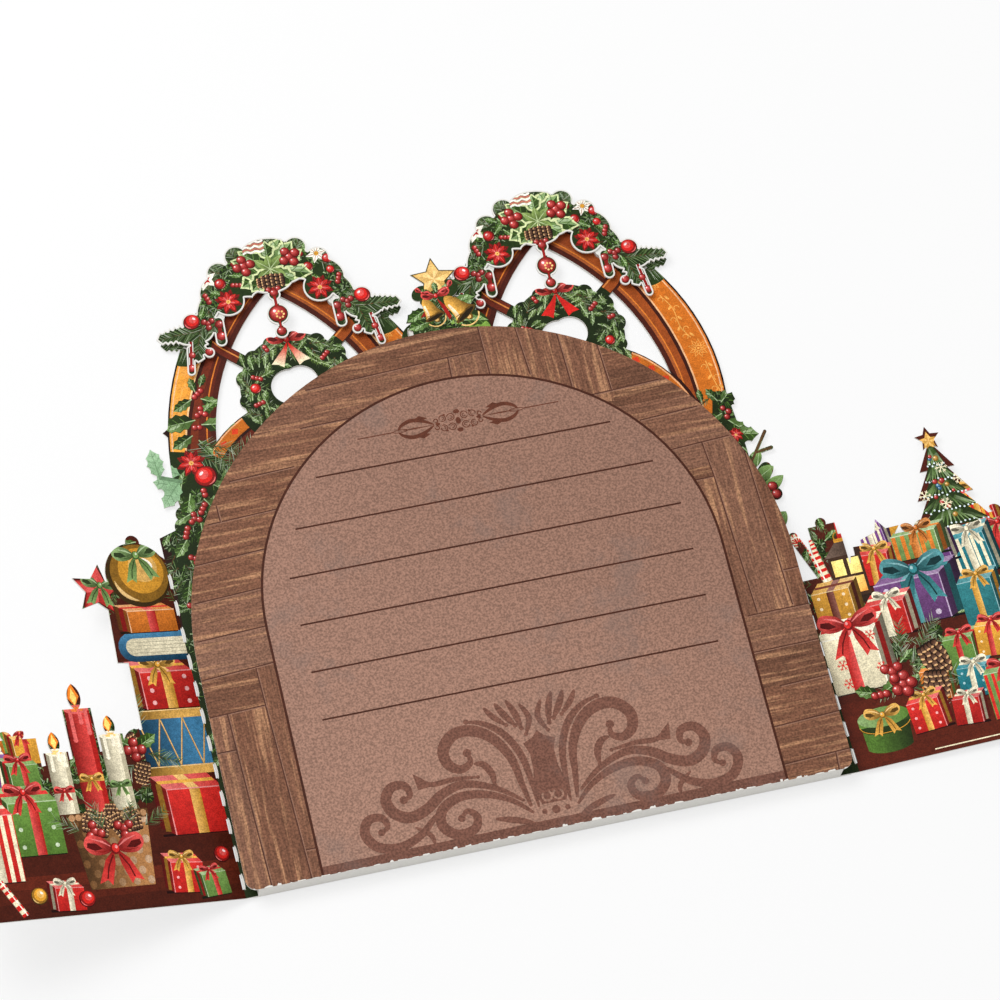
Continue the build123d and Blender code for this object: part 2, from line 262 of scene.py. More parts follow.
# ---------------------------------------------------------------- the printed faces
class Face:
    """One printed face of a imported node, with millimetre axes of its own."""

    def __init__(self, node, corner, across, up):
        self.node = node
        self.corner = Vector(corner) * MM
        self.across = Vector(across).normalized()
        self.up = Vector(up).normalized()
        self.normal = self.across.cross(self.up)

    def place(self, x, y, lift=FILM):
        return self.corner + (self.across * x + self.up * y + self.normal * lift) * MM

    def flat(self, point):
        away = point - self.corner
        return Vector((away.dot(self.across) / MM, away.dot(self.up) / MM))

    def triangles(self):
        """The node's own triangles on this face, in the face's axes."""
        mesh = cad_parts[self.node].data
        found = []
        for polygon in mesh.polygons:
            if polygon.normal.dot(self.normal) < 0.9995:
                continue
            away = [abs((mesh.vertices[i].co - self.corner).dot(self.normal)) for i in polygon.vertices]
            if max(away) > 0.02 * MM:
                continue
            ring = [self.flat(mesh.vertices[i].co) for i in polygon.vertices]
            if sum(a.cross(b) for a, b in zip(ring, ring[1:] + ring[:1])) < 0:
                ring.reverse()
            found.append(ring)
        if not found:
            raise RuntimeError(f"no face of {self.node} lies where its print goes")
        return found


def level_face(node, height):
    return Face(node, (0, CREASE_Y, height), (1, 0, 0), (0, 1, 0))


def turned_face(node, place, height):
    turn = math.radians(WINDOW_TURN)
    corner = (place[0] + GARLAND_SHIFT[0], place[1] + GARLAND_SHIFT[1] + CREASE_Y, height)
    return Face(node, corner, (math.cos(turn), math.sin(turn), 0), (-math.sin(turn), math.cos(turn), 0))


def wing_face(side):
    """Upper face of a wing: x runs outwards from the fold and y up the fold."""
    lean = math.radians(FOLD_LEAN)
    rise = math.radians(WING_ANGLE[side])
    across = Vector((side * math.cos(lean), side * math.sin(lean), 0))
    outward = across * math.cos(rise) + Vector((0, 0, math.sin(rise)))
    up_fold = Vector((-math.sin(lean), math.cos(lean), 0))
    normal = outward.cross(up_fold) * side
    corner = Vector((FOLD_X[side], CREASE_Y, SHEET_TOP - CARD)) + normal * CARD
    face = Face("window_sheet", corner, outward, up_fold)
    face.normal = normal
    return face


class Pen:
    """Draws in axes of its own that are moved, turned, sized and mirrored on the printed face."""

    def __init__(self, sheet, origin=0j, turn=1 + 0j, flip=False):
        self.sheet = sheet
        self.origin = origin
        self.turn = turn
        self.flip = flip

    def at(self, x, y, turn=0.0, size=1.0, flip=False):
        point = self.to(x, y)
        angle = math.radians(-turn if self.flip else turn)
        spin = complex(math.cos(angle), math.sin(angle)) * size
        return Pen(self.sheet, complex(*point), self.turn * spin, self.flip != flip)

    def to(self, x, y):
        z = complex(x, -y if self.flip else y) * self.turn + self.origin
        return (z.real, z.imag)

    def back(self, x, y):
        z = (complex(x, y) - self.origin) / self.turn
        return (z.real, -z.imag if self.flip else z.imag)

    def fill(self, points, tint, ink="art"):
        """A flat shape. A tint is one colour, or a rule that gives the colour at a place."""
        placed = [self.to(*p) for p in points]
        area = sum(a[0] * b[1] - b[0] * a[1] for a, b in zip(placed, placed[1:] + placed[:1])) / 2
        if abs(area) < 1e-5 or (self.sheet.hidden and all(self.sheet.hidden(*p) for p in placed)):
            return
        if area < 0:
            placed.reverse()
        self.sheet.shapes.append((placed, tint, ink, self))

    def stroke(self, points, width, tint, ink="art"):
        """A line of even or changing width: width is a number, or a rule that gives it from 0 to 1 along."""
        last = len(points) - 1
        rims = []
        for i, (x, y) in enumerate(points):
            before = points[max(i - 1, 0)]
            after = points[min(i + 1, last)]
            dx = after[0] - before[0]
            dy = after[1] - before[1]
            length = math.hypot(dx, dy) or 1.0
            half = (width(i / last) if callable(width) else width) / 2
            rims.append(((x - dy / length * half, y + dx / length * half), (x + dy / length * half,
                y - dx / length * half)))
        for (a, b), (c, d) in zip(rims, rims[1:]):
            self.fill([a, b, d], tint, ink)
            self.fill([a, d, c], tint, ink)

    def ball(self, x, y, radius, colour, gloss=0.55):
        """A round shaded body with its light at the upper left."""
        steps = 5 if radius > 1.2 else 4
        for i in range(steps):
            share = i / (steps - 1)
            size = radius * (1 - 0.72 * share)
            shift = radius * 0.30 * share
            tint = between(tone(colour, -0.42), tone(colour, gloss * 0.55), share)
            self.fill(circle(x - shift, y + shift, size), tint)
        self.fill(circle(x - radius * 0.36, y + radius * 0.36, radius * 0.17, 8), tone(colour, 0.88))


def taper(width, tip=0.12):
    """Thick in the middle and thin at both ends."""
    return lambda t: width * (tip + (1 - tip) * math.sin(math.pi * min(max(t, 0), 1)) ** 0.8)


def tail(width, tip=0.15):
    """Thick at the start and thin at the end."""
    return lambda t: width * (1 - (1 - tip) * t)


class Sheet:
    """Everything printed on one face, drawn in order, the last on top."""

    def __init__(self, name, face):
        self.name = name
        self.face = face
        self.shapes = []
        self.hidden = None
        self.pen = Pen(self)

    def rim(self, width, tint, ink="bare"):
        """A line along the card's own edge."""
        edges = {}
        for ring in self.face.triangles():
            keys = [(round(p.x, 3), round(p.y, 3)) for p in ring]
            for a, b in zip(keys, keys[1:] + keys[:1]):
                edges[frozenset((a, b))] = edges.get(frozenset((a, b)), 0) + 1
        for edge, count in edges.items():
            if count == 1 and len(edge) == 2:
                a, b = edge
                self.pen.stroke([a, b], width, tint, ink)
                self.pen.fill(circle(*a, width / 2, 9), tint, ink)

    def printed(self):
        """The film of ink: one flat mesh, cut along the card's edges, with a colour at every corner."""
        base = self.face.triangles()
        points = []
        rings = []
        for ring in base + [[Vector(p) for p in shape[0]] for shape in self.shapes]:
            rings.append(list(range(len(points), len(points) + len(ring))))
            points.extend(ring)
        places, _, faces, _, _, origins = delaunay_2d_cdt(points, [], rings, 0, 1e-5, True)
        outlines = [[points[i] for i in ring] for ring in rings]
        kept = []
        used = []
        corner_colours = []
        inks = []
        edge = 0.02
        low = [min(p[i] for ring in base for p in ring) - edge for i in (0, 1)]
        high = [max(p[i] for ring in base for p in ring) + edge for i in (0, 1)]
        tops = []
        mirrored = self.face.across.cross(self.face.up).dot(self.face.normal) < 0
        for face, origin in zip(faces, origins):
            if any(not (low[k] < places[i][k] < high[k]) for i in face for k in (0, 1)):
                continue
            centre = sum((places[i] for i in face), Vector((0, 0))) / len(face)
            if not any(i < len(base) and inside(centre, outlines[i]) for i in origin):
                continue
            top = next((i for i in sorted(origin, reverse=True) if inside(centre, outlines[i])),
                0) - len(base)
            if top < 0:
                tint, ink, pen = WHITE, "bare", self.pen
            else:
                _, tint, ink, pen = self.shapes[top]
            if ink not in used:
                used.append(ink)
            corners = list(face)
            if mirrored:
                corners.reverse()
            kept.append(corners)
            tops.append(top)
            inks.append(used.index(ink))
            for i in corners:
                seen = tint(*pen.back(*places[i])) if callable(tint) else tint
                corner_colours.extend(linear(seen))
                corner_colours.append(1.0)
        mesh = bpy.data.meshes.new(self.name)
        mesh.from_pydata([self.face.place(*p) for p in places], [], kept)
        layer = mesh.color_attributes.new("ink", "FLOAT_COLOR", "CORNER")
        layer.data.foreach_set("color", corner_colours)
        mesh.polygons.foreach_set("material_index", inks)
        for ink in used:
            mesh.materials.append(ink_material(ink))
        mesh.polygons.foreach_set("use_smooth", [False] * len(kept))
        shape = mesh.attributes.new("shape", "INT", "FACE")
        shape.data.foreach_set("value", tops)
        piece = bpy.data.objects.new(self.name, mesh)
        bpy.context.scene.collection.objects.link(piece)
        merge_within_shapes(piece)
        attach(piece, "root")
        return piece


def inside(point, outline):
    """Whether a closed outline goes round the point."""
    x, y = point
    crossings = False
    ax, ay = outline[-1]
    for bx, by in outline:
        if (ay > y) != (by > y) and x < (bx - ax) * (y - ay) / (by - ay) + ax:
            crossings = not crossings
        ax, ay = bx, by
    return crossings


def merge_within_shapes(piece):
    """Joins the triangles of each printed shape into larger faces, and drops the points that no face uses."""
    mesh = piece.data
    shape = [item.value for item in mesh.attributes["shape"].data]
    first = {}
    seams = set()
    for polygon in mesh.polygons:
        for key in polygon.edge_keys:
            if first.setdefault(key, shape[polygon.index]) != shape[polygon.index]:
                seams.add(key)
    for edge in mesh.edges:
        edge.use_seam = edge.key in seams
    mesh.attributes.remove(mesh.attributes["shape"])
    bpy.ops.object.select_all(action="DESELECT")
    bpy.context.view_layer.objects.active = piece
    piece.select_set(True)
    bpy.ops.object.mode_set(mode="EDIT")
    bpy.ops.mesh.select_all(action="SELECT")
    bpy.ops.mesh.dissolve_limited(angle_limit=math.radians(1.0), delimit={"SEAM", "MATERIAL"})
    bpy.ops.mesh.select_all(action="SELECT")
    bpy.ops.mesh.delete_loose(use_verts=True, use_edges=True, use_faces=False)
    bpy.ops.mesh.select_all(action="SELECT")
    bpy.ops.mesh.quads_convert_to_tris(quad_method="BEAUTY", ngon_method="BEAUTY")
    bpy.ops.object.mode_set(mode="OBJECT")
    for edge in mesh.edges:
        edge.use_seam = False
    piece.select_set(False)


# ---------------------------------------------------------------- shader building
class Value:
    """A shader socket that can be used in sums."""

    def __init__(self, tree, socket):
        self.tree = tree
        self.socket = socket

    def _sum(self, operation, first, second):
        return self.tree.make("ShaderNodeMath", {"operation": operation}, {0: first, 1: second})

    def __add__(self, other):
        return self._sum("ADD", self, other)

    __radd__ = __add__

    def __sub__(self, other):
        return self._sum("SUBTRACT", self, other)

    def __rsub__(self, other):
        return self._sum("SUBTRACT", other, self)

    def __mul__(self, other):
        return self._sum("MULTIPLY", self, other)

    __rmul__ = __mul__


class Paint:
    """A material under construction."""

    def __init__(self, name):
        self.material = bpy.data.materials.new(name)
        self.material.use_nodes = True
        self.tree = self.material.node_tree
        self.shader = self.tree.nodes["Principled BSDF"]
        self.output = self.tree.nodes["Material Output"]

    def make(self, kind, settings, inputs, out=0):
        """A node of this kind, its settings first and then its sockets."""
        node = self.tree.nodes.new(kind)
        for key, value in settings.items():
            if key == "stops":
                node.color_ramp.elements[0].position = value[0][0]
                node.color_ramp.elements[1].position = value[-1][0]
                for position, _ in value[1:-1]:
                    node.color_ramp.elements.new(position)
                for element, (_, grey) in zip(node.color_ramp.elements, value):
                    element.color = (grey, grey, grey, 1.0)
            else:
                setattr(node, key, value)
        for key, value in inputs.items():
            self.feed(node.inputs[key], value)
        return Value(self, node.outputs[out])

    def feed(self, socket, value):
        if isinstance(value, Value):
            self.tree.links.new(value.socket, socket)
        else:
            socket.default_value = value

    def place(self, scale=(1, 1, 1), turn=0.0):
        """Object coordinates, stretched and turned."""
        here = self.make("ShaderNodeTexCoord", {}, {}, out="Object")
        return self.make("ShaderNodeMapping", {}, {
            "Vector": here, "Scale": scale, "Rotation": (0, 0, math.radians(turn))})

    def noise(self, scale, detail=3.0, vector=None, rough=0.55):
        return self.make("ShaderNodeTexNoise", {}, {
            "Vector": vector or self.place(), "Scale": scale, "Detail": detail, "Roughness": rough})

    def ramp(self, value, low, high, first=0.0, second=1.0):
        return self.make("ShaderNodeMapRange", {"interpolation_type": "SMOOTHSTEP"}, {
            "Value": value, "From Min": low, "From Max": high, "To Min": first, "To Max": second})

    def mix(self, share, first, second, blend="MIX"):
        node = self.tree.nodes.new("ShaderNodeMix")
        node.data_type = "RGBA"
        node.blend_type = blend
        for key, value in ((0, share), (6, first), (7, second)):
            self.feed(node.inputs[key], value)
        return Value(self, node.outputs[2])

    def dim(self, colour, amount):
        """The colour times an amount that changes over the surface."""
        return self.mix(1.0, colour, amount, "MULTIPLY")

    def ink(self):
        return self.make("ShaderNodeVertexColor", {"layer_name": "ink"}, {})

    def finish(self, colour, roughness, height, distance):
        self.feed(self.shader.inputs["Base Color"], colour)
        self.feed(self.shader.inputs["Roughness"], roughness)
        bump = self.make("ShaderNodeBump", {}, {"Strength": 0.6, "Distance": distance, "Height": height})
        self.feed(self.shader.inputs["Normal"], bump)
        return self.material


def solid(colour):
    return (*linear(colour), 1.0)


def art_ink():
    """Satin colour print: a fine screen of ink over paper, a little uneven like a painting."""
    paint = Paint("art_ink")
    grain = paint.noise(3600.0, 2.0)
    brush = paint.noise(900.0, 4.0, rough=0.7)
    cloud = paint.noise(120.0, 2.0)
    level = paint.ramp(grain, 0.3, 0.7, 0.84, 1.20) * paint.ramp(brush, 0.25, 0.75, 0.86, 1.26)
    level = level * paint.ramp(cloud, 0.3, 0.7, 0.96, 1.10)
    colour = paint.dim(paint.ink(), level)
    paint.shader.inputs["Specular IOR Level"].default_value = 0.12
    rough = paint.ramp(brush, 0.2, 0.8, 0.42, 0.58)
    return paint.finish(colour, rough, grain, sizes().grain_height)


def board_ink(name, scale, fine_scale):
    """Printed boards: light streaks and dark pores that run along the grain."""
    paint = Paint(name)
    along = paint.place(scale)
    waver = paint.noise(1.0, 3.0, along, 0.6)
    streak = paint.ramp(waver, 0.50, 0.66)
    groove = paint.ramp(waver, 0.30, 0.46, 0.78, 1.0)
    pores = paint.noise(1.0, 4.0, paint.place(fine_scale), 0.65)
    grain = paint.noise(2500.0, 3.0)
    colour = paint.dim(paint.ink(), paint.ramp(pores, 0.25, 0.75, 0.70, 1.30) * groove)
    colour = paint.mix(streak * paint.ramp(pores, 0.3, 0.7, 0.35, 0.95), colour, solid(colours().streak))
    colour = paint.dim(colour, paint.ramp(grain, 0.3, 0.7, 0.66, 1.36))
    paint.shader.inputs["Specular IOR Level"].default_value = 0.1
    rough = paint.ramp(waver, 0.3, 0.7, 0.5, 0.62)
    return paint.finish(colour, rough, grain, sizes().grain_height)


def board_ink_across():
    return board_ink("board_ink_across", (38, 760, 1), (170, 3000, 1))


def board_ink_up():
    return board_ink("board_ink_up", (760, 38, 1), (3000, 170, 1))


def field_ink():
    """Writing field: fine speckle, and faint grey clouds like those of old paper."""
    paint = Paint("field_ink")
    grain = paint.noise(2400.0, 3.0)
    cloud = paint.noise(60.0, 4.0, rough=0.65)
    wash = paint.noise(9.0, 1.0)
    colour = paint.dim(paint.ink(), paint.ramp(grain, 0.3, 0.7, 0.68, 1.34))
    colour = paint.dim(colour, paint.ramp(wash, 0.35, 0.65, 0.95, 1.05))
    stain = paint.ramp(cloud, 0.55, 0.70, 0.0, 0.30)
    colour = paint.mix(stain, colour, solid((0.47, 0.42, 0.40)))
    paint.shader.inputs["Specular IOR Level"].default_value = 0.1
    rough = paint.ramp(grain, 0.3, 0.7, 0.55, 0.66)
    return paint.finish(colour, rough, grain, sizes().grain_height)


def bare_card():
    """Unprinted white card with its fibres."""
    paint = Paint("bare_card")
    fibres = paint.noise(1.0, 4.0, paint.place((900, 2600, 2600)), 0.7)
    fleck = paint.noise(5200.0, 2.0)
    level = paint.ramp(fibres, 0.25, 0.75, 0.90, 1.0) * paint.ramp(fleck, 0.3, 0.7, 0.95, 1.0)
    colour = paint.dim(solid((0.925, 0.915, 0.89)), level)
    paint.shader.inputs["Specular IOR Level"].default_value = 0.2
    rough = paint.ramp(fibres, 0.3, 0.7, 0.72, 0.86)
    return paint.finish(colour, rough, fibres, sizes().grain_height * 1.5)


def foam_tape():
    """Closed-cell foam of the raised strips and pads, with its small cells."""
    paint = Paint("foam_tape")
    cells = paint.make("ShaderNodeTexVoronoi", {"feature": "F1"}, {
        "Vector": paint.place(), "Scale": 2600.0})
    cloud = paint.noise(700.0, 3.0)
    # The colour darkens towards the middle of each cell: painted shade in the pits of the cells, which the
    # bump also sinks.
    level = paint.ramp(cells, 0.0, 0.8, 0.78, 1.0) * paint.ramp(cloud, 0.3, 0.7, 0.94, 1.0)
    colour = paint.dim(solid((0.90, 0.90, 0.88)), level)
    rough = paint.ramp(cloud, 0.3, 0.7, 0.8, 0.92)
    return paint.finish(colour, rough, cells, 0.00006)


INKS = {
    "art": art_ink,
    "boards_across": board_ink_across,
    "boards_up": board_ink_up,
    "field": field_ink,
    "bare": bare_card,
    "foam": foam_tape,
}


def ink_material(name):
    made = INKS[name].__name__
    return bpy.data.materials.get(made) or INKS[name]()


# ---------------------------------------------------------------- motifs: greenery
def leaf_points(length, width, spines=3):
    """A holly leaf from its stalk: hollow arcs between the spines."""
    steps = spines + 1
    upper = []
    for i in range(1, steps):
        reach = width / 2 * math.sin(math.pi * i / steps) ** 0.6
        before = width / 2 * (math.sin(math.pi * (i - 1) / steps) ** 0.6 if i > 1 else 0.0)
        upper.append((length * (i - 0.5) / steps, (reach + before) / 2 * 0.80))
        upper.append((length * i / steps, reach))
    upper.append((length * (steps - 0.5) / steps, upper[-1][1] / 2 * 0.80))
    lower = [(x, -y) for x, y in reversed(upper)]
    return [(0.0, 0.0)] + upper + [(length, 0.0)] + lower


def holly(pen, x, y, turn, length, width, green, rim=None):
    """A shaded holly leaf: dark below the midrib, light above it."""
    leaf = pen.at(x, y, turn)
    outline = leaf_points(length, width)
    if rim:
        leaf.fill(outline, rim)
        outline = [(0.04 * length + px * 0.90, py * 0.74) for px, py in outline]
    leaf.fill(outline, shade(tone(green, -0.72), tone(green, -0.30), (0, 0), (length, 0)))
    half = [(px, py * 0.92) for px, py in outline if py >= 0]
    leaf.fill(half, shade(tone(green, -0.35), tone(green, 0.28), (0, 0), (length * 0.9, width * 0.3)))
    leaf.fill(oval(length * 0.62, width * 0.16, length * 0.17, width * 0.07, 12), tone(green, 0.45))
    leaf.stroke([(0, 0), (length * 0.5, width * 0.02), (length, 0)], tail(0.26), tone(green, 0.42))
    for share in (0.3, 0.5, 0.7):
        leaf.stroke([(length * share, 0), (length * (share + 0.12), width * 0.27)], 0.12, tone(green, -0.4))
        leaf.stroke([(length * share, 0), (length * (share + 0.12), -width * 0.27)], 0.12, tone(green, 0.1))


def fir(pen, x, y, turn, length, width, green, rng, count=16):
    """A fir sprig: needles on both sides of a twig, light at their tips."""
    sprig = pen.at(x, y, turn)
    sprig.stroke([(0, 0), (length * 0.55, width * 0.04), (length * 0.94, 0)], tail(0.34), (0.33, 0.22, 0.12))
    for i in range(count):
        share = i / count
        reach = width / 2 * (1.05 - 0.5 * share * share)
        for side in (-1, 1):
            lean = math.radians(rng.uniform(30, 52))
            size = reach * rng.uniform(0.85, 1.15) / math.sin(lean)
            bx = length * share + rng.uniform(0, length / count)
            tip = (bx + size * math.cos(lean), side * size * math.sin(lean))
            step = rng.choice((-0.4, -0.1, 0.12, 0.35, 0.58))
            colour = tone(green, step)
            half = 0.13 + 0.008 * width
            sprig.fill([(bx - half, 0), (bx + half, 0), tip], shade(tone(colour, -0.45), tone(colour, 0.22),
                (bx, 0), tip))


def tuft(pen, x, y, radius, green, rng, count=22):
    """A rounded clump of needles that spread from a dark heart."""
    clump = pen.at(x, y)
    clump.fill(circle(0, 0, radius * 0.82), tone(green, -0.72))
    for i in range(count):
        angle = 2 * math.pi * (i + rng.uniform(-0.4, 0.4)) / count
        inner = radius * rng.uniform(0.05, 0.45)
        outer = radius * rng.uniform(0.75, 1.12)
        bend = angle + rng.uniform(-0.25, 0.25)
        tip = (outer * math.cos(bend), outer * math.sin(bend))
        sx = inner * math.cos(angle)
        sy = inner * math.sin(angle)
        nx = -math.sin(angle) * 0.17
        ny = math.cos(angle) * 0.17
        colour = tone(green, rng.choice((-0.45, -0.2, 0.05, 0.3, 0.5)))
        clump.fill([(sx + nx, sy + ny), (sx - nx, sy - ny), tip], shade(tone(colour, -0.35), colour,
                (sx, sy), tip))


def thicket(pen, inside, area, count, green, rng, sizes_mm=(2.4, 4.2)):
    """Fills a region with small leaves and needle clumps: area is (low x, low y, high x, high y)."""
    for i in range(count):
        x = rng.uniform(area[0], area[2])
        y = rng.uniform(area[1], area[3])
        turn = rng.uniform(0, 360)
        length = rng.uniform(*sizes_mm)
        if not inside(x, y):
            continue
        if i % 3 == 0:
            tuft(pen, x, y, length * 0.5, green, rng, 14)
        elif i % 3 == 1:
            holly(pen, x, y, turn, length, length * 0.5, tone(green, rng.uniform(-0.3, 0.15)))
        else:
            fir(pen, x, y, turn, length * 1.25, length * 0.6, green, rng, 8)


def twig_leaf(pen, x, y, turn, length, width, green):
    """A plain pointed leaf."""
    leaf = pen.at(x, y, turn)
    rim = [(length * i / 9, width / 2 * math.sin(math.pi * i / 9)) for i in range(1, 9)]
    points = [(0.0, 0.0)] + rim + [(length, 0)] + [(x, -y) for x, y in reversed(rim)]
    leaf.fill(points, shade(tone(green, -0.5), tone(green, 0.2), (0, -width / 2), (length * 0.6, width / 2)))
    leaf.stroke([(0, 0), (length, 0)], tail(0.22), tone(green, 0.45))


# ---------------------------------------------------------------- motifs: berries, flowers, ribbons
def berries(pen, x, y, radius, red, count=3, turn=20.0):
    """A few berries close together, each over its own shadow."""
    places = [(0.0, 0.0)]
    for i in range(count - 1):
        angle = math.radians(turn + 360.0 * i / max(count - 1, 2))
        places.append((1.5 * radius * math.cos(angle), 1.5 * radius * math.sin(angle)))
    for px, py in places:
        pen.fill(circle(x + px + radius * 0.12, y + py - radius * 0.16, radius * 1.08, 10), tone(red, -0.7))
    for px, py in places:
        pen.ball(x + px, y + py, radius, red)


def poinsettia(pen, x, y, radius, red, turn=0.0):
    """A red winter flower: two rings of pointed petals and a golden heart."""
    flower = pen.at(x, y, turn)
    for ring, (count, size, step) in enumerate(((8, 1.0, -0.45), (7, 0.80, -0.05), (5, 0.52, 0.16))):
        for i in range(count):
            petal = flower.at(0, 0, 360.0 * i / count + 17 * ring)
            length = radius * size
            points = [(0, 0), (length * 0.35, length * 0.24), (length * 0.7, length * 0.2), (length, 0),
                (length * 0.7, -length * 0.2), (length * 0.35, -length * 0.24)]
            petal.fill(points, shade(tone(red, step - 0.4), tone(red, step), (0, 0), (length * 0.8, 0)))
            petal.stroke([(length * 0.1, 0), (length * 0.9, 0)], tail(0.16), tone(red, min(step + 0.35, 0.6)))
    for i in range(5):
        angle = 2 * math.pi * i / 5
        flower.fill(circle(radius * 0.1 * math.cos(angle), radius * 0.1 * math.sin(angle), radius * 0.07,
            7), tone(colours().gold, 0.2))


def bauble(pen, x, y, radius, colour):
    """A glass ball with its cap, a bright window of light and a lit lower rim."""
    ball = pen.at(x, y)
    ball.fill(circle(0, 0, radius), tone(colour, -0.72))
    ball.fill(circle(-0.05 * radius, 0.06 * radius, radius * 0.92), tone(colour, -0.35))
    ball.fill(circle(-0.12 * radius, 0.14 * radius, radius * 0.72), colour)
    ball.fill(circle(-0.2 * radius, 0.24 * radius, radius * 0.46), tone(colour, 0.22))
    ball.fill(oval(-0.34 * radius, 0.36 * radius, radius * 0.22, radius * 0.13, 40), tone(colour, 0.85))
    ball.stroke(arc(0, 0, radius * 0.8, -80, -10, 8), taper(radius * 0.12), tone(colour, 0.35))


def ribbon_bow(pen, x, y, size, colour, turn=0.0, tails=True):
    """A tied bow: two loops with dark insides, folds, a knot and two notched tails."""
    bow = pen.at(x, y, turn, size)
    for flip in (False, True):
        half = bow.at(0, 0, 180, 1, True) if flip else bow.at(0, 0)
        if tails:
            half.fill([(0.05, 0), (0.42, -0.35), (0.78, -1.12), (0.48, -1.02), (0.34, -1.2), (0.1, -0.5)],
                shade(tone(colour, -0.35), tone(colour, 0.12), (0, 0), (0.6, -1.0)))
            half.stroke([(0.12, -0.2), (0.36, -0.6), (0.48, -0.98)], 0.05, tone(colour, -0.55))
        loop = flowing([(0, 0), (0.35, 0.38), (0.85, 0.5), (1.05, 0.18), (0.8, -0.14), (0.35, -0.16), (0,
            0)], 4)
        half.fill(loop[:-1], shade(tone(colour, -0.5), tone(colour, 0.2), (0, 0), (0.8, 0.4)))
        half.fill([(0.42, 0.02), (0.62, 0.22), (0.92, 0.26), (0.96, 0.1), (0.7, -0.02)], tone(colour, -0.6))
        half.stroke([(0.08, 0.04), (0.4, 0.26), (0.8, 0.4)], taper(0.07), tone(colour, 0.4))
        half.stroke([(0.1, -0.01), (0.45, -0.08), (0.8, -0.04)], taper(0.05), tone(colour, -0.35))
    bow.fill(oval(0, 0, 0.17, 0.2), tone(colour, -0.45))
    bow.fill(oval(-0.02, 0.02, 0.13, 0.15), tone(colour, 0.05))
    bow.fill(oval(-0.05, 0.06, 0.05, 0.06), tone(colour, 0.55))


def star_points(radius, inner=0.48, count=5):
    points = []
    for i in range(2 * count):
        reach = radius if i % 2 == 0 else radius * inner
        angle = math.pi / 2 + math.pi * i / count
        points.append((reach * math.cos(angle), reach * math.sin(angle)))
    return points


def gilded_star(pen, x, y, radius, colour, turn=0.0, inner=0.48):
    """A five-pointed star with a light and a dark half to every ray."""
    star = pen.at(x, y, turn)
    outline = star_points(radius, inner)
    star.fill(outline, tone(colour, -0.55))
    outline = star_points(radius * 0.92, inner * 1.02)
    star.fill(outline, shade(tone(colour, -0.25), tone(colour, 0.25), (radius * 0.3, -radius),
        (-radius * 0.4, radius)))
    for i in range(5):
        tip = outline[2 * i]
        star.fill([(0, 0), outline[2 * i - 1], tip], shade(tone(colour, 0.35), tone(colour, 0.1), (0, 0),
            tip))


def snowflake(pen, x, y, radius, colour, turn=0.0):
    flake = pen.at(x, y, turn)
    for i in range(6):
        ray = flake.at(0, 0, 60 * i)
        ray.stroke([(0, 0), (radius, 0)], 0.16 * radius ** 0.5, colour)
        for side in (-1, 1):
            ray.stroke([(radius * 0.55, 0), (radius * 0.82, side * radius * 0.26)], 0.12 * radius ** 0.5,
                colour)


def pinecone(pen, x, y, turn, length, width):
    """A cone seen from its side: rows of overlapping scales with light lips."""
    cone = pen.at(x, y, turn)
    brown = (0.36, 0.20, 0.11)
    cone.fill(oval(length / 2, 0, length / 2, width / 2), tone(brown, -0.75))
    rows = 6
    for row in range(rows):
        share = row / (rows - 1)
        along = length * (0.92 - 0.80 * share)
        half = width / 2 * math.sin(math.pi * (0.16 + 0.56 * share)) ** 0.8
        count = 4 if row % 2 == 0 else 5
        for i in range(count):
            across = half * (-1 + 2 * (i + 0.5) / count)
            scale = cone.at(along, across, across / half * 38)
            size = width * 0.14
            scale.fill(oval(-size * 0.2, 0, size * 1.2, size * 0.95, 0, 9), tone(brown, -0.7))
            scale.fill(oval(0, 0, size * 0.9, size * 0.72, 0, 8), shade(tone(brown, -0.3), tone(brown,
                0.25), (-size, 0), (size, 0)))
            scale.fill(oval(size * 0.62, 0, size * 0.28, size * 0.6, 0, 7), (0.84, 0.66, 0.46))


def bell(pen, x, y, height, colour, turn=0.0):
    """A bell hung from its loop, with a lit left flank, a dark mouth and a clapper."""
    body = pen.at(x, y, turn, height)
    outline = flowing([(-0.47, -1.0), (-0.36, -0.88), (-0.27, -0.6), (-0.22, -0.3), (0, -0.05), (0.22,
        -0.3), (0.27, -0.6), (0.36, -0.88), (0.47, -1.0)], 3)
    body.fill(circle(0, -1.16, 0.12), tone(colour, -0.5))
    body.fill(circle(-0.02, -1.14, 0.08), tone(colour, 0.3))
    body.fill(outline, shade(tone(colour, 0.12), tone(colour, -0.62), (-0.12, 0), (0.4, 0)))
    body.fill([(-0.38, -0.95), (-0.26, -0.72), (-0.18, -0.35), (-0.10, -0.35), (-0.14, -0.72), (-0.22,
        -0.95)], shade(tone(colour, 0.1), tone(colour, 0.68), (-0.38, 0), (-0.18, 0)))
    body.fill(oval(0, -1.0, 0.47, 0.13), tone(colour, -0.62))
    body.fill(oval(0, -1.02, 0.37, 0.08), tone(colour, -0.85))
    body.stroke(arc(0, -1.0, 0.44, 200, 340, 8), 0.05, tone(colour, 0.35))
    body.stroke([(-0.33, -0.83), (0, -0.90), (0.33, -0.83)], 0.035, tone(colour, -0.4))


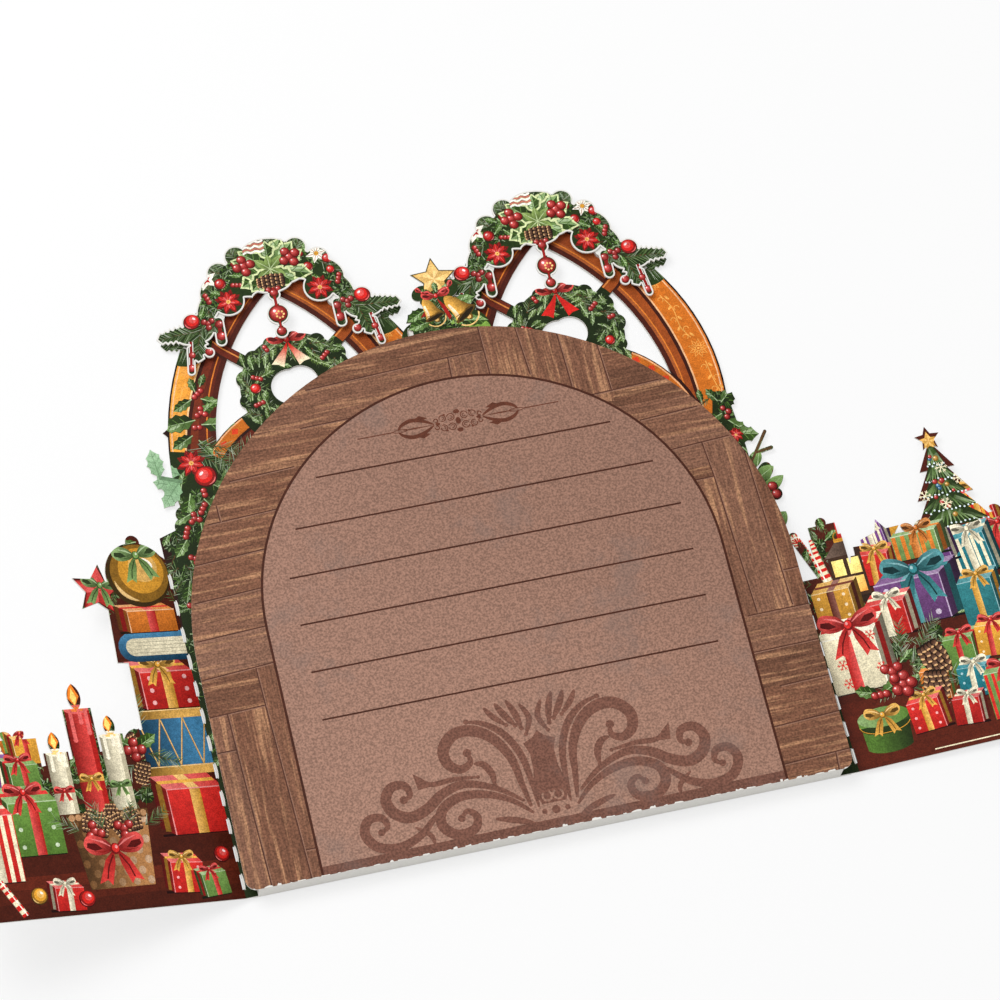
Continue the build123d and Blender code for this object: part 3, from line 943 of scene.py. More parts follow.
# ---------------------------------------------------------------- motifs: gifts and toys
def gift(pen, x, y, width, height, paper, ribbon, turn=0.0, depth=0.24, pattern=None, bow=1.0):
    """A wrapped box: front, lit lid, dark side, ribbon both ways and a bow on top."""
    parcel = pen.at(x, y, turn)
    front = width * (1 - depth)
    left = -width / 2
    right = left + front
    slant = width * depth
    lid = min(height * 0.24, width * 0.26)
    wall = height - lid
    parcel.fill(box(0.0, -0.2, width * 0.98, 0.5), tone(paper, -0.85))
    parcel.fill([(right, 0), (right + slant, lid * 0.55), (right + slant, height * 0.98), (right, wall)],
                shade(tone(paper, -0.38), tone(paper, -0.62), (right, 0), (right + slant, 0)))
    parcel.fill([(left, 0), (right, 0), (right, wall), (left, wall)],
                shade(tone(paper, -0.16), tone(paper, 0.05), (0, 0), (0, wall)))
    parcel.fill([(left, wall), (right, wall), (right + slant, height), (left + slant * 0.9, height)],
                shade(tone(paper, 0.12), tone(paper, 0.36), (left, wall), (right, height)))
    if pattern == "stripes":
        count = 5
        for i in range(count):
            a = left + front * (i + 0.1) / count
            b = left + front * (i + 0.55) / count
            parcel.fill([(a, 0), (b, 0), (b, wall), (a, wall)], tone(ribbon, 0.05))
    if pattern == "dots":
        for i in range(3):
            for j in range(3):
                parcel.fill(circle(left + front * (i + 0.5) / 3, wall * (j + 0.5) / 3, width * 0.035, 7),
                    tone(paper, 0.62))
    middle = left + front * 0.5
    band = width * 0.075
    parcel.fill([(middle - band, 0), (middle + band, 0), (middle + band, wall), (middle - band, wall)],
                shade(tone(ribbon, -0.2), tone(ribbon, 0.22), (middle - band, 0), (middle + band, 0)))
    parcel.fill([(middle - band, wall), (middle + band, wall), (middle + band + slant * 0.95, height),
        (middle - band + slant * 0.95, height)], tone(ribbon, 0.3))
    parcel.fill([(left + slant * 0.45, wall + lid * 0.42), (right + slant * 0.5, wall + lid * 0.42),
        (right + slant * 0.62, wall + lid * 0.64), (left + slant * 0.58, wall + lid * 0.64)], tone(ribbon,
        0.1))
    mid_side = right + slant * 0.5
    parcel.fill([(mid_side - band * 0.5, lid * 0.25), (mid_side + band * 0.5, lid * 0.3),
        (mid_side + band * 0.5, wall + lid * 0.5), (mid_side - band * 0.5, wall + lid * 0.4)], tone(ribbon,
        -0.4))
    parcel.stroke([(left, wall), (right, wall), (right, 0)], width * 0.014 + 0.05, tone(paper, 0.5))
    if bow:
        ribbon_bow(parcel, middle + slant * 0.5, wall + lid * 0.62, width * 0.30 * bow, ribbon)


def hat_box(pen, x, y, width, height, paper, ribbon):
    """A round lidded box with a rolled rim and a ribbon bow on the lid."""
    tin = pen.at(x, y)
    half = width / 2
    rise = width * 0.16
    body = [(-half * 0.93, height * 0.62), (-half * 0.9, rise * 0.7)]
    body += arc(0, rise * 0.9, half * 0.9, 200, 340, 12)
    body = [(px, (py - rise * 0.9) * 0.32 + rise * 0.9 if i > 1 else py) for i, (px, py) in enumerate(body)]
    body += [(half * 0.93, height * 0.62)]
    tin.fill(body, shade(tone(paper, -0.15), tone(paper, -0.7), (-half * 0.5, 0), (half, 0)))
    rim = oval(0, height * 0.62, half, rise * 1.25)
    tin.fill(rim, tone(paper, -0.6))
    tin.fill([(-half, height * 0.62), (half, height * 0.62), (half, height * 0.78), (-half, height * 0.78)],
        shade(tone(paper, 0.05), tone(paper, -0.55), (-half * 0.4, 0), (half, 0)))
    tin.fill(oval(0, height * 0.78, half, rise * 1.2), shade(tone(paper, -0.1), tone(paper, 0.3), (half, 0),
            (-half, 0)))
    tin.stroke(oval(0, height * 0.64, half * 0.98, rise * 1.2)[len(rim) // 2:], 0.16,
               tone(colours().gold, -0.1))
    ribbon_bow(tin, 0, height * 0.82, width * 0.34, ribbon)


def candle(pen, x, y, width, height, wax, ribbon):
    """A lit pillar candle with a dip at its top, drips, a flame and a ribbon round it."""
    stick = pen.at(x, y)
    half = width / 2
    stick.fill([(-half, 0), (half, 0), (half, height), (-half, height)],
               shade(tone(wax, 0.15), tone(wax, -0.42), (-half * 0.4, 0), (half, 0)))
    stick.fill([(-half, 0), (-half * 0.6, 0), (-half * 0.6, height), (-half, height)], tone(wax, -0.2))
    stick.fill(oval(0, height, half, half * 0.36), tone(wax, 0.3))
    stick.fill(oval(0, height, half * 0.7, half * 0.2), between(wax, (1.0, 0.72, 0.3), 0.6))
    for share, drop in ((-0.7, 0.22), (-0.2, 0.12), (0.55, 0.28)):
        stick.stroke([(half * share, height), (half * share, height * (1 - drop))], half * 0.3, tone(wax,
            0.3))
        stick.fill(circle(half * share, height * (1 - drop), half * 0.2, 8), tone(wax, 0.3))
    flame = height + half * 0.4
    stick.fill([(0, flame - 0.4), (half * 0.5, flame + half * 0.5), (half * 0.1, flame + half * 1.9),
        (-half * 0.45, flame + half * 0.6)], (0.93, 0.50, 0.14))
    stick.fill([(0, flame - 0.2), (half * 0.28, flame + half * 0.5), (half * 0.05, flame + half * 1.3),
        (-half * 0.25, flame + half * 0.5)], (1.0, 0.86, 0.45))
    band = height * 0.34
    stick.fill([(-half, band), (half, band), (half, band + width * 0.26), (-half, band + width * 0.26)],
               shade(tone(ribbon, 0.15), tone(ribbon, -0.45), (-half, 0), (half, 0)))
    ribbon_bow(stick, 0, band + width * 0.12, width * 0.44, ribbon)


def drum(pen, x, y, width, height, skin, hoop, turn=0.0):
    """A toy drum: painted hoops and a cord laced up and down."""
    toy = pen.at(x, y, turn)
    half = width / 2
    toy.fill(box(0, 0, width, height), shade(tone(skin, 0.12), tone(skin, -0.55), (-half * 0.5, 0), (half,
        0)))
    for i in range(6):
        a = -half + width * i / 6
        high = i % 2 == 0
        toy.stroke([(a, height * (0.86 if high else 0.14)), (a + width / 6,
            height * (0.14 if high else 0.86))], 0.34, tone(hoop, -0.3))
        toy.stroke([(a, height * (0.87 if high else 0.15)), (a + width / 6,
            height * (0.15 if high else 0.87))], 0.14, tone(hoop, 0.4))
    for level in (0.0, 0.86):
        toy.fill(box(0, height * level, width * 1.05, height * 0.14), shade(tone(hoop, 0.2), tone(hoop,
            -0.5), (-half * 0.4, 0), (half, 0)))
        toy.stroke([(-half * 1.05, height * (level + 0.13)), (half * 1.05, height * (level + 0.13))], 0.16,
            tone(hoop, 0.45))


def book(pen, x, y, width, height, cover, pages, turn=0.0):
    """A thick book on its side: rounded spine at the right, pages between the covers."""
    tome = pen.at(x, y, turn)
    half = width / 2
    outline = [(-half, 0), (half * 0.6, 0)] + arc(half * 0.6, height / 2, height / 2, -90, 90, 8) + [(-half,
        height)]
    tome.fill(outline, shade(tone(cover, 0.15), tone(cover, -0.5), (0, height), (0, 0)))
    inner = [(-half * 0.98, height * 0.2), (half * 0.55, height * 0.2)]
    inner += arc(half * 0.55, height / 2, height * 0.3, -90, 90, 8) + [(-half * 0.98, height * 0.8)]
    tome.fill(inner, shade(tone(pages, 0.12), tone(pages, -0.22), (-half, height), (half, 0)))
    for i in range(4):
        level = height * (0.30 + 0.12 * i)
        tome.stroke([(-half * 0.95, level), (half * 0.6, level)], 0.1, tone(pages, -0.35))


def lantern(pen, x, y, width, height, frame_colour):
    """A glowing lantern with four panes, a roof and a ring."""
    lamp = pen.at(x, y)
    half = width / 2
    lamp.fill(box(0, 0, width, height * 0.12), tone(frame_colour, -0.45))
    lamp.fill(box(0, height * 0.1, width * 0.9, height * 0.6), tone(frame_colour, -0.2))
    for side in (-1, 1):
        for level in (0, 1):
            pane = box(side * half * 0.43, height * (0.15 + 0.27 * level), width * 0.32, height * 0.23)
            lamp.fill(pane, shade((1.0, 0.92, 0.55), (0.90, 0.52, 0.16), (0, height * 0.4), (side * half,
                height * 0.1)))
    lamp.fill([(-half * 1.05, height * 0.70), (half * 1.05, height * 0.70), (half * 0.3, height * 0.9),
        (-half * 0.3, height * 0.9)], shade(tone(frame_colour, 0.2), tone(frame_colour, -0.4), (-half, 0),
        (half, 0)))
    lamp.fill(box(0, height * 0.9, width * 0.3, height * 0.05), tone(colours().gold, -0.1))
    lamp.stroke(arc(0, height * 0.98, width * 0.13, 0, 360, 12), 0.2, tone(colours().gold, -0.2))


def candy_cane(pen, points, width, red, cream):
    """A striped stick along the points, shaded round."""
    path = flowing(points, 6)
    pen.stroke(path, width, tone(cream, -0.35))
    pen.stroke(path, width * 0.84, cream)
    for a, b in zip(path[::2], path[1::2]):
        pen.stroke([a, b], width * 0.98, red)
    pen.stroke([(x - width * 0.2, y + width * 0.05) for x, y in path], width * 0.14, tone(cream, 0.6))


def fir_tree(pen, x, y, width, height, green, rng):
    """A tabletop tree: tiers of boughs, snow on their tips, baubles and beads."""
    tree = pen.at(x, y)
    tiers = 5
    for i in range(tiers):
        level = height * i / (tiers + 0.6)
        half = width / 2 * (1 - i / (tiers + 0.35))
        peak = level + height * 0.34
        tree.fill([(-half, level), (-half * 0.5, level - height * 0.025), (0, level - height * 0.01),
            (half * 0.5, level - height * 0.03), (half, level), (0, peak)], tone(green, -0.62))
        for k in range(int(16 - 2 * i)):
            share = -1 + 2 * (k + 0.5) / (16 - 2 * i)
            bx = share * half * 0.8
            tip = (share * half * 1.06, level + rng.uniform(-0.4, 0.3))
            root = (bx * 0.45, level + (peak - level) * (0.62 - 0.3 * abs(share)))
            colour = tone(green, rng.choice((-0.4, -0.1, 0.1, 0.35)))
            tree.stroke([root, tip], tail(0.75), shade(tone(colour, -0.4), tone(colour, 0.2), root, tip))
            tree.fill(circle(tip[0], tip[1], 0.22, 6), (0.88, 0.93, 0.94))
    for i in range(14):
        level = rng.uniform(0.06, 0.82)
        reach = width / 2 * (1 - level) * 0.72
        colour = rng.choice((colours().red, colours().gold, colours().blue))
        tree.ball(rng.uniform(-reach, reach), height * level, rng.uniform(0.4, 0.62), colour)


def basket(pen, x, y, width, height, cane):
    """A woven basket, wider at its rim."""
    weave = pen.at(x, y)
    half = width / 2
    weave.fill([(-half * 0.82, 0), (half * 0.82, 0), (half, height), (-half, height)], shade(tone(cane,
        0.1), tone(cane, -0.6), (-half * 0.5, 0), (half, 0)))
    rows = 7
    for row in range(rows):
        level = height * (row + 0.5) / rows
        reach = half * (0.82 + 0.18 * level / height)
        count = 9
        for i in range(count):
            if (i + row) % 2:
                continue
            cx = -reach + 2 * reach * (i + 0.5) / count
            weave.fill(oval(cx, level, reach / count * 0.95, height / rows * 0.42, 0, 9), shade(tone(cane,
                0.4), tone(cane, -0.35), (-half, 0), (half, 0)))
    weave.fill(box(0, height * 0.95, width * 1.04, height * 0.12), tone(cane, -0.45))
    for i in range(12):
        cx = -half + width * (i + 0.5) / 12
        weave.fill(oval(cx, height * 1.01, half / 12, height * 0.05, 20, 8), tone(cane, 0.2))


# ---------------------------------------------------------------- writing panel
SEAMS = (((-52.8, 75.2), (-38.5, 75.8)), ((-58.7, 59.4), (-44.8, 60.1)), ((-59.6, 51.5), (-45.8, 52.1)),
    ((-60.3, 43.5), (-45.7, 44.4)), ((-60.6, 35.7), (-49.5, 36.1)), ((-60.6, 28.3), (-57, 28.3)), ((-48.1,
    5.8), (-45.8, 5.8)), ((-57.3, 67.2), (-42.5, 68)), ((-46.8, 83.4), (-33.4, 84)), ((-50.3, 78.9),
    (-50.2, 75.5)), ((-49.7, 43.9), (-49.5, 37.2), (-48.1, -0.5)), ((-57.1, 35.8), (-55.9, -0.7)), ((-27.7,
    99.7), (1.8, 101.1), (9.6, 101.3)), ((-30.5, 91.8), (-19.9, 92)), ((2.1, 101), (1.9, 96.5)), ((9.6,
    106.8), (9.7, 95.7)), ((17, 105), (17.7, 94.1)), ((25.1, 102), (25.4, 89.9)), ((32.6, 98), (33.1,
    87.7)), ((28.8, 87.3), (43.1, 87.9)), ((37.1, 79.9), (49.4, 80.6)), ((41.7, 72.4), (54.1, 73.1)),
    ((44.7, 65), (48.9, 65.1)), ((57.2, 42.7), (60.7, 42.8)), ((48, 34.7), (60.7, 34.8)), ((47, 27), (60.7,
    27.2)), ((50.5, 19.2), (60.7, 19.5)), ((47.2, 11.2), (60.7, 11.8)), ((46.9, 3.3), (60.7, 3.9)), ((48.3,
    72.7), (48.9, 65.1), (50, 35)), ((56.3, 69.1), (57.4, 35.2)), ((57.8, 3.6), (57.5, -0.7)),)
UPRIGHT_BOARDS = (((-57.1, -1), (-55.9, -1), (-57.1, 35.8), (-60.8, 35.8), (-60.8, -1)), ((-57.1, 35.8),
    (-55.9, -1), (-48.1, -1), (-49.5, 37.2), (-49.6, 36)), ((-49.5, 37.2), (-48.1, -1), (-45.5, -1),
    (-45.5, 44.2), (-49.7, 44)), ((2.1, 101.1), (1.9, 92), (9.8, 90), (9.6, 101.3)), ((9.6, 109), (9.8,
    90), (33.2, 85), (32.4, 100)), ((48.3, 72.8), (48.9, 65.1), (50, 34.8), (57.4, 34.8), (56.2, 73)),
    ((57.4, 34.8), (60.9, 34.8), (60.9, 60), (56.3, 70)), ((46.5, 34.8), (50, 34.8), (48.9, 65), (44.6,
    65)),)


def print_boards(pen):
    rng = random.Random(3)
    wood, line = inks("wood", "line")
    pen.fill([(-62, -1), (62, -1), (62, 110), (-62, 110)], shade(tone(wood, -0.02), tone(wood, 0.05), (-60,
        0), (60, 90)), "boards_across")
    levels = (-1, 11.5, 19.3, 27.1, 34.8, 44, 51.8, 59.8, 67.6, 75.5, 83.7, 91.9, 100.4, 110)
    for low, high in zip(levels, levels[1:]):
        for left, right in ((-62, 2), (2, 62)):
            step = rng.uniform(-0.12, 0.08)
            pen.fill([(left, low), (right, low), (right, high), (left, high)], tone(wood, step),
                "boards_across")
    for board in UPRIGHT_BOARDS:
        pen.fill(board, tone(wood, rng.uniform(-0.10, 0.06)), "boards_up")
    for seam in SEAMS:
        pen.stroke([(x + 0.22, y - 0.22) for x, y in seam], 0.22, tone(wood, 0.10))
        pen.stroke(seam, sizes().seam_width / MM, tone(line, 0.06))


def print_field(pen):
    field, line = inks("field", "line")
    edge = sizes().border_width / MM
    pen.fill(arch_field(edge, 0), line)
    pen.fill(arch_field(0, 0), shade(tone(field, 0.03), tone(field, -0.04), (-30, 20), (40, 80)), "field")
    pen.fill([(FIELD_X - FIELD_HALF, -1), (FIELD_X + FIELD_HALF, -1), (FIELD_X + FIELD_HALF, 2.1),
              (FIELD_X - FIELD_HALF, 1.8)], tone(tuple(colours().scroll), -0.04), "field")


def print_lines(pen):
    top = 80.8
    halves = (30.4, 36.8, 40.1, 40.1, 40.1, 40.1)
    centre = 0.8
    pitch = sizes().line_pitch / MM
    for i, half in enumerate(halves):
        y = top - pitch * i
        pen.stroke([(centre - half, y), (centre + half, y)], sizes().line_width / MM, tuple(colours().line))


def scroll_line(pen, points, width, tint):
    """One scroll with a swelling body and a round end, drawn at both sides of the ornament's middle."""
    path = flowing(points, 6)
    for flip in (False, True):
        side = pen.at(0, 0, 180, 1, True) if flip else pen
        side.stroke(path, taper(width, 0.22), tint, "field")
        side.fill(circle(*points[-1], width * 0.36), tint, "field")


def print_scrollwork(pen):
    """Acanthus scrolls round a vase, the same on both sides of their middle."""
    tint = tuple(colours().scroll)
    ornament = pen.at(1.2, 0)
    scrolls = ((((-21, 8.6), (-23.8, 6.6), (-26.9, 4), (-31.3, 2.5), (-35.5, 3.4), (-37.4, 6.4), (-36.2, 9),
        (-33.6, 9), (-32.8, 7), (-34.2, 6.1)), 2), (((-5.6, 6.6), (-10.4, 10.2), (-16.2, 12.3), (-20.9,
        11.3), (-24.4, 9), (-28, 7.9), (-31, 9.4), (-32, 12.3), (-30.4, 14.6), (-27.8, 14.4), (-27.2,
        12.3), (-28.6, 11.6)), 2.3), (((-4.4, 3.9), (-8, 7.2), (-12.6, 9.4), (-17.6, 10), (-21.6, 8.2),
        (-22.4, 5.1), (-20, 2.7), (-16.4, 3.1), (-15.4, 5.4), (-17, 6.9), (-18.4, 5.7)), 2.1), (((-4.6,
        5.2), (-5.4, 10.4), (-6.2, 15.6), (-8.8, 20.2), (-12.4, 22.6), (-16.2, 22.6), (-18.8, 20), (-18.6,
        17), (-16.4, 15.4), (-14.2, 16.4), (-14.4, 18.4)), 2.4), (((-3.2, 4.8), (-3.4, 10.2), (-4.2, 16),
        (-6.6, 20.8), (-10, 23.6), (-13.2, 24.6)), 1.5), (((-25.2, 15.6), (-22.8, 13.6), (-18.2, 13.7),
        (-13.4, 13.2)), 1.1), (((-13.6, 16), (-11.8, 15.4), (-10.6, 13.2), (-10.6, 10.9)), 1.5), (((-9.2,
        26.8), (-7.8, 24.6), (-5.6, 22.4)), 1.2), (((-6.9, 27.2), (-5.6, 24.6), (-3.9, 22)), 1.4), (((-4.6,
        27.4), (-3.4, 24.4), (-2.8, 21.2)), 1.4), (((-2.2, 26.2), (-0.9, 23), (-2.2, 19.8)), 1.2), (((-12,
        4.2), (-9.6, 3.6), (-6.6, 2.6), (-4.4, 1.6)), 1.3), (((-27.6, 5.8), (-25, 3.6), (-24.6, 1.6)), 1),)
    for points, width in scrolls:
        scroll_line(ornament, points, width, tint)
    vase = [(0, 20.2), (-1.1, 19), (-3.2, 18), (-2.4, 15.6), (-2.5, 12.4), (-3.1, 9.6), (-3.4, 7.6), (-2.4,
        5.2)]
    mirrored = [(-x, y) for x, y in reversed(vase[1:])]
    ornament.fill(vase + mirrored, tint, "field")
    ground = tuple(colours().field)
    for side in (-1, 1):
        ornament.stroke(arc(side * 1.1, 6.7, 0.95, 90 - side * 40, 90 - side * 330, 12), 0.42, ground,
            "field")
        ornament.fill(circle(side * 2.3, 3.7, 0.55), tint, "field")
        ornament.fill(outline_hook(side), tint, "field")
    ornament.fill(circle(0, 3.7, 0.85), tint, "field")


def outline_hook(side):
    """The small three-cornered leaf at the outer scrolls."""
    return [(side * 25.8, 16.4), (side * 24, 15), (side * 22.6, 13.2), (side * 25.4, 13)]


def print_header(pen):
    """The small ornament over the first line: scrolls in a row, a pair of leaves and a dart at each end."""
    tint = between(colours().line, (0.55, 0.32, 0.24), 0.35)
    ornament = pen.at(1.1, 87.2)
    for flip in (False, True):
        side = ornament.at(0, 0, 180, 1, True) if flip else ornament
        for y in (1, -1):
            up = side.at(0, 0, 0, 1, False) if y > 0 else side.at(0, 0, 0, 1, True)
            up.stroke(flowing([(-12.4, 0.2), (-11.4, 1.2), (-9.4, 1.8), (-7, 1.2), (-5, 0.1)], 5),
                taper(0.85, 0.2), tint)
            up.fill([(-9.4, 1.7), (-7.6, 2.5), (-6, 1.7), (-7.4, 1.4)], tint)
            up.stroke(arc(-0.1, 1.95, 0.42, -60, 220, 10), 0.22, tint)
            up.stroke(arc(-4.5, 0.75, 0.42, -120, 190, 10), 0.24, tint)
            up.stroke(arc(-3.1, 1.05, 0.66, -120, 190, 12), 0.2, tint)
            up.stroke(arc(-3.05, 1.05, 0.28, -120, 90, 7), 0.16, tint)
            up.stroke(arc(-1.4, 1.05, 0.74, -150, 170, 12), 0.2, tint)
            up.stroke(arc(-1.35, 1, 0.32, -150, 120, 8), 0.16, tint)
            up.fill(circle(-2.6, 1.75, 0.22, 8), tint)
        side.stroke([(-5, 0), (-9, 0), (-12.4, 0)], taper(0.32), tint)
        side.stroke(oval(-12, 0, 1.5, 0.32, 0, 16) + [(-10.5, 0)], 0.16, tint)
        side.stroke([(-13.4, 0), (-20.8, 0)], 0.22, tint)
        side.fill(oval(-4.2, 0, 0.5, 0.3, 0, 10), tint)
    ornament.fill(oval(0, 0, 0.55, 0.75, 0, 12), tint)
    ornament.fill(circle(0, 1.9, 0.3, 8), tint)
    ornament.fill(circle(0, -1.9, 0.3, 8), tint)


def print_cracked_crease(pen):
    """Where the ink has cracked off along the bottom crease the white card shows."""
    rng = random.Random(12)
    x = -60.5
    while x < 60.5:
        width = rng.uniform(0.5, 2.6)
        height = rng.choice((0.10, 0.16, 0.24, 0.34, 0.5)) * rng.uniform(0.6, 1.3)
        points = [(x, -0.1)]
        for i in range(4):
            points.append((x + width * (i + 0.5) / 4, height * rng.uniform(0.35, 1)))
        points.append((x + width, -0.1))
        pen.fill(points, WHITE, "bare")
        x += width + rng.uniform(0.1, 1.8)


# ---------------------------------------------------------------- window sheet
def print_band_flower(pen, x, y, radius, tint):
    """A flower pressed into the painted band, in a darker tone of it."""
    flower = pen.at(x, y)
    for i in range(9):
        petal = flower.at(0, 0, 40 * i)
        petal.stroke([(radius * 0.34, 0), (radius * 0.6, radius * 0.15), (radius, 0), (radius * 0.6,
            -radius * 0.15), (radius * 0.34, 0)], 0.16, tint)
    flower.stroke(circle(0, 0, radius * 0.28, 12) + [(radius * 0.28, 0)], 0.18, tint)
    flower.fill(circle(0, 0, radius * 0.12, 8), tint)


def print_vine(pen, points, tint):
    path = flowing(points, 5)
    pen.stroke(path, 0.2, tint)
    for i, (x, y) in enumerate(path[2:-1:3]):
        side = 1 if i % 2 else -1
        pen.stroke(arc(x + side * 0.8, y, 0.55, 90 - side * 90, 90 + side * 150, 8), 0.16, tint)
        pen.fill(oval(x - side * 0.6, y + 0.3, 0.6, 0.26, 50 * side, 8), tint)


def print_window_frame(pen, gilt):
    """Painted wooden frame of one window: outer band, moulding, inner frame, crossbars and tracery."""
    orange, maroon = inks("orange", "maroon")
    rib = between(orange, maroon, 0.55)
    outer = pointed_arch(OUTER_RIGHT, OUTER_LEFT, -60)
    bevel = pointed_arch(BEVEL_RIGHT, BEVEL_LEFT, -60)
    left_tint = between(orange, (0.92, 0.66, 0.26), gilt)
    pen.fill(outer, shade(left_tint, tone(orange, -0.03), (-24, 0), (6, 0)))
    pen.stroke(outer, 0.7, tone(maroon, -0.72))
    pen.stroke(pointed_arch(((-16, -32.5), 45.5), ((32.3, -33), 59.2), -60), 0.28, tone(orange, 0.45))
    dark = between(orange, (0.98, 0.80, 0.46), 0.55)
    print_band_flower(pen, -20.6, -10.7, 1.7, dark)
    print_band_flower(pen, 20.6, -9.2, 1.7, dark)
    print_band_flower(pen, 26.8, -25, 2.1, dark)
    print_vine(pen, ((21.6, -12), (23.6, -15.4), (24.2, -19.6), (25.8, -22.4)), dark)
    print_vine(pen, ((27.6, -28), (28.2, -32), (29.2, -36), (29.2, -40)), dark)
    print_vine(pen, ((-21.4, -13), (-23.4, -17), (-24.6, -22), (-25.6, -27)), dark)
    print_vine(pen, ((17.6, -2.2), (19, -5), (20, -7)), dark)
    pen.fill(bevel, shade(maroon, rib, (-14, 0), (4, -10)))
    pen.stroke([(x, y) for x, y in bevel], 0.85, tone(maroon, -0.42))
    pen.stroke([(x + (0.45 if x > 0 else -0.45), y + 0.2) for x, y in bevel], 0.34, tone(left_tint, 0.42))
    middle = pointed_arch(((-31.6, -37.2), 53.8), ((31.6, -36.2), 53.8), -60)
    pen.fill(middle, shade(tone(maroon, -0.12), tone(rib, 0.06), (-12, 0), (6, 0)))
    pane = pointed_arch((PANE_RIGHT[0], PANE_RIGHT[1] + 1.1), (PANE_LEFT[0], PANE_LEFT[1] + 1.1), -60)
    pen.fill(pane, tone(maroon, -0.30))
    pen.stroke([(x + (0.7 if x > 0 else -0.7), y + 0.3) for x, y in pane], 0.26, tone(orange, 0.05))
    for side in (-1, 1):
        bar = [(side * 14.4, -5.2), (side * 12.6, -7.4), (side * 6, -13)]
        pen.stroke(bar, 3.4, tone(maroon, -0.4))
        pen.stroke(bar, 2.2, rib if side > 0 else maroon)
        pen.stroke([(x - 0.4, y + 0.7) for x, y in bar], 0.3, tone(orange, 0.15))
    print_tracery(pen, orange, maroon)


def print_tracery(pen, orange, maroon):
    """The round tracery in the foot of the window, with its lattice."""
    disc = pen.at(*TRACERY)
    disc.fill(circle(0, 0, TRACERY_RADIUS + 0.5, 60), tone(maroon, -0.55))
    ring = [(x, y) for x, y in circle(0, 0, TRACERY_RADIUS - 1.5, 60)]
    disc.stroke(ring + ring[:1], 2.6, tone(orange, -0.1))
    disc.stroke(circle(0, 0, TRACERY_RADIUS - 0.4, 60), 0.3, tone(orange, 0.4))
    for i in range(40):
        angle = 9 * i
        cell = disc.at((TRACERY_RADIUS - 1.5) * math.cos(math.radians(angle)),
            (TRACERY_RADIUS - 1.5) * math.sin(math.radians(angle)), angle)
        cell.fill([(-0.8, 0), (0, 0.9), (0.8, 0), (0, -0.9)], between(orange, colours().red, 0.65))
    disc.fill(circle(0, 0, TRACERY_RADIUS - 3.4, 50), shade(maroon, tone(maroon, -0.5), (0, 20), (0, 0)))


def print_wreath(pen, seed, tails):
    """Wreath of mixed greenery that hangs in the window, with berries, a bow and a bauble."""
    rng = random.Random(seed)
    green, red = inks("green", "red")
    wreath = pen.at(*WREATH)
    wreath.fill(circle(0, 0, WREATH_RADIUS + 1.2, 50), tone(green, -0.70))
    for ring, (reach, count) in enumerate(((10.9, 26), (8.9, 22), (6.9, 16), (11.6, 24), (7.8, 18), (9.8,
            20))):
        for i in range(count):
            angle = 360 * (i + rng.uniform(-0.3, 0.3)) / count + 9 * ring
            x = reach * math.cos(math.radians(angle))
            y = reach * math.sin(math.radians(angle))
            leaf_green = between(green, (0.44, 0.52, 0.20), rng.uniform(0, 0.45))
            leaf_green = tone(leaf_green, rng.uniform(-0.2, 0.2))
            turn = angle - 90 + rng.uniform(-55, 55)
            if ring in (1, 5) and i % 2:
                fir(wreath, x, y, turn, 3.8, 2.4, leaf_green, rng, 8)
            elif i % 4 == 3:
                tuft(wreath, x, y, 1.5, leaf_green, rng, 12)
            else:
                holly(wreath, x, y, turn, rng.uniform(2.4, 3.6), rng.uniform(1.2, 1.7), leaf_green)
    for angle, reach, count in ((158, 8.6, 3), (196, 8.8, 3), (229, 9.2, 4), (42, 8.8, 3), (17, 9.8, 2),
            (118, 10.2, 2), (300, 9, 3), (262, 8.6, 3)):
        berries(wreath, reach * math.cos(math.radians(angle)), reach * math.sin(math.radians(angle)), 0.52,
                red, count, angle)
    bauble(wreath, -8.6, 1, 1.15, red)
    bauble(wreath, 8.4, -2.2, 1.1, red)
    bow = pen.at(0.5, -7.6)
    for side in (-1, 1):
        bow.fill([(0, 0), (side * 1.2, -1.6), (side * 4, -4.6), (side * 2.6, -4.9), (side * 1.6, -5.6),
            (side * 0.2, -1.4)], shade(tone(red, -0.1), tails, (0, -1.2), (side * 2.6, -4.6)))
    ribbon_bow(bow, 0, 0.4, 3.9, between(red, (0.95, 0.45, 0.35), 0.12), tails=False)


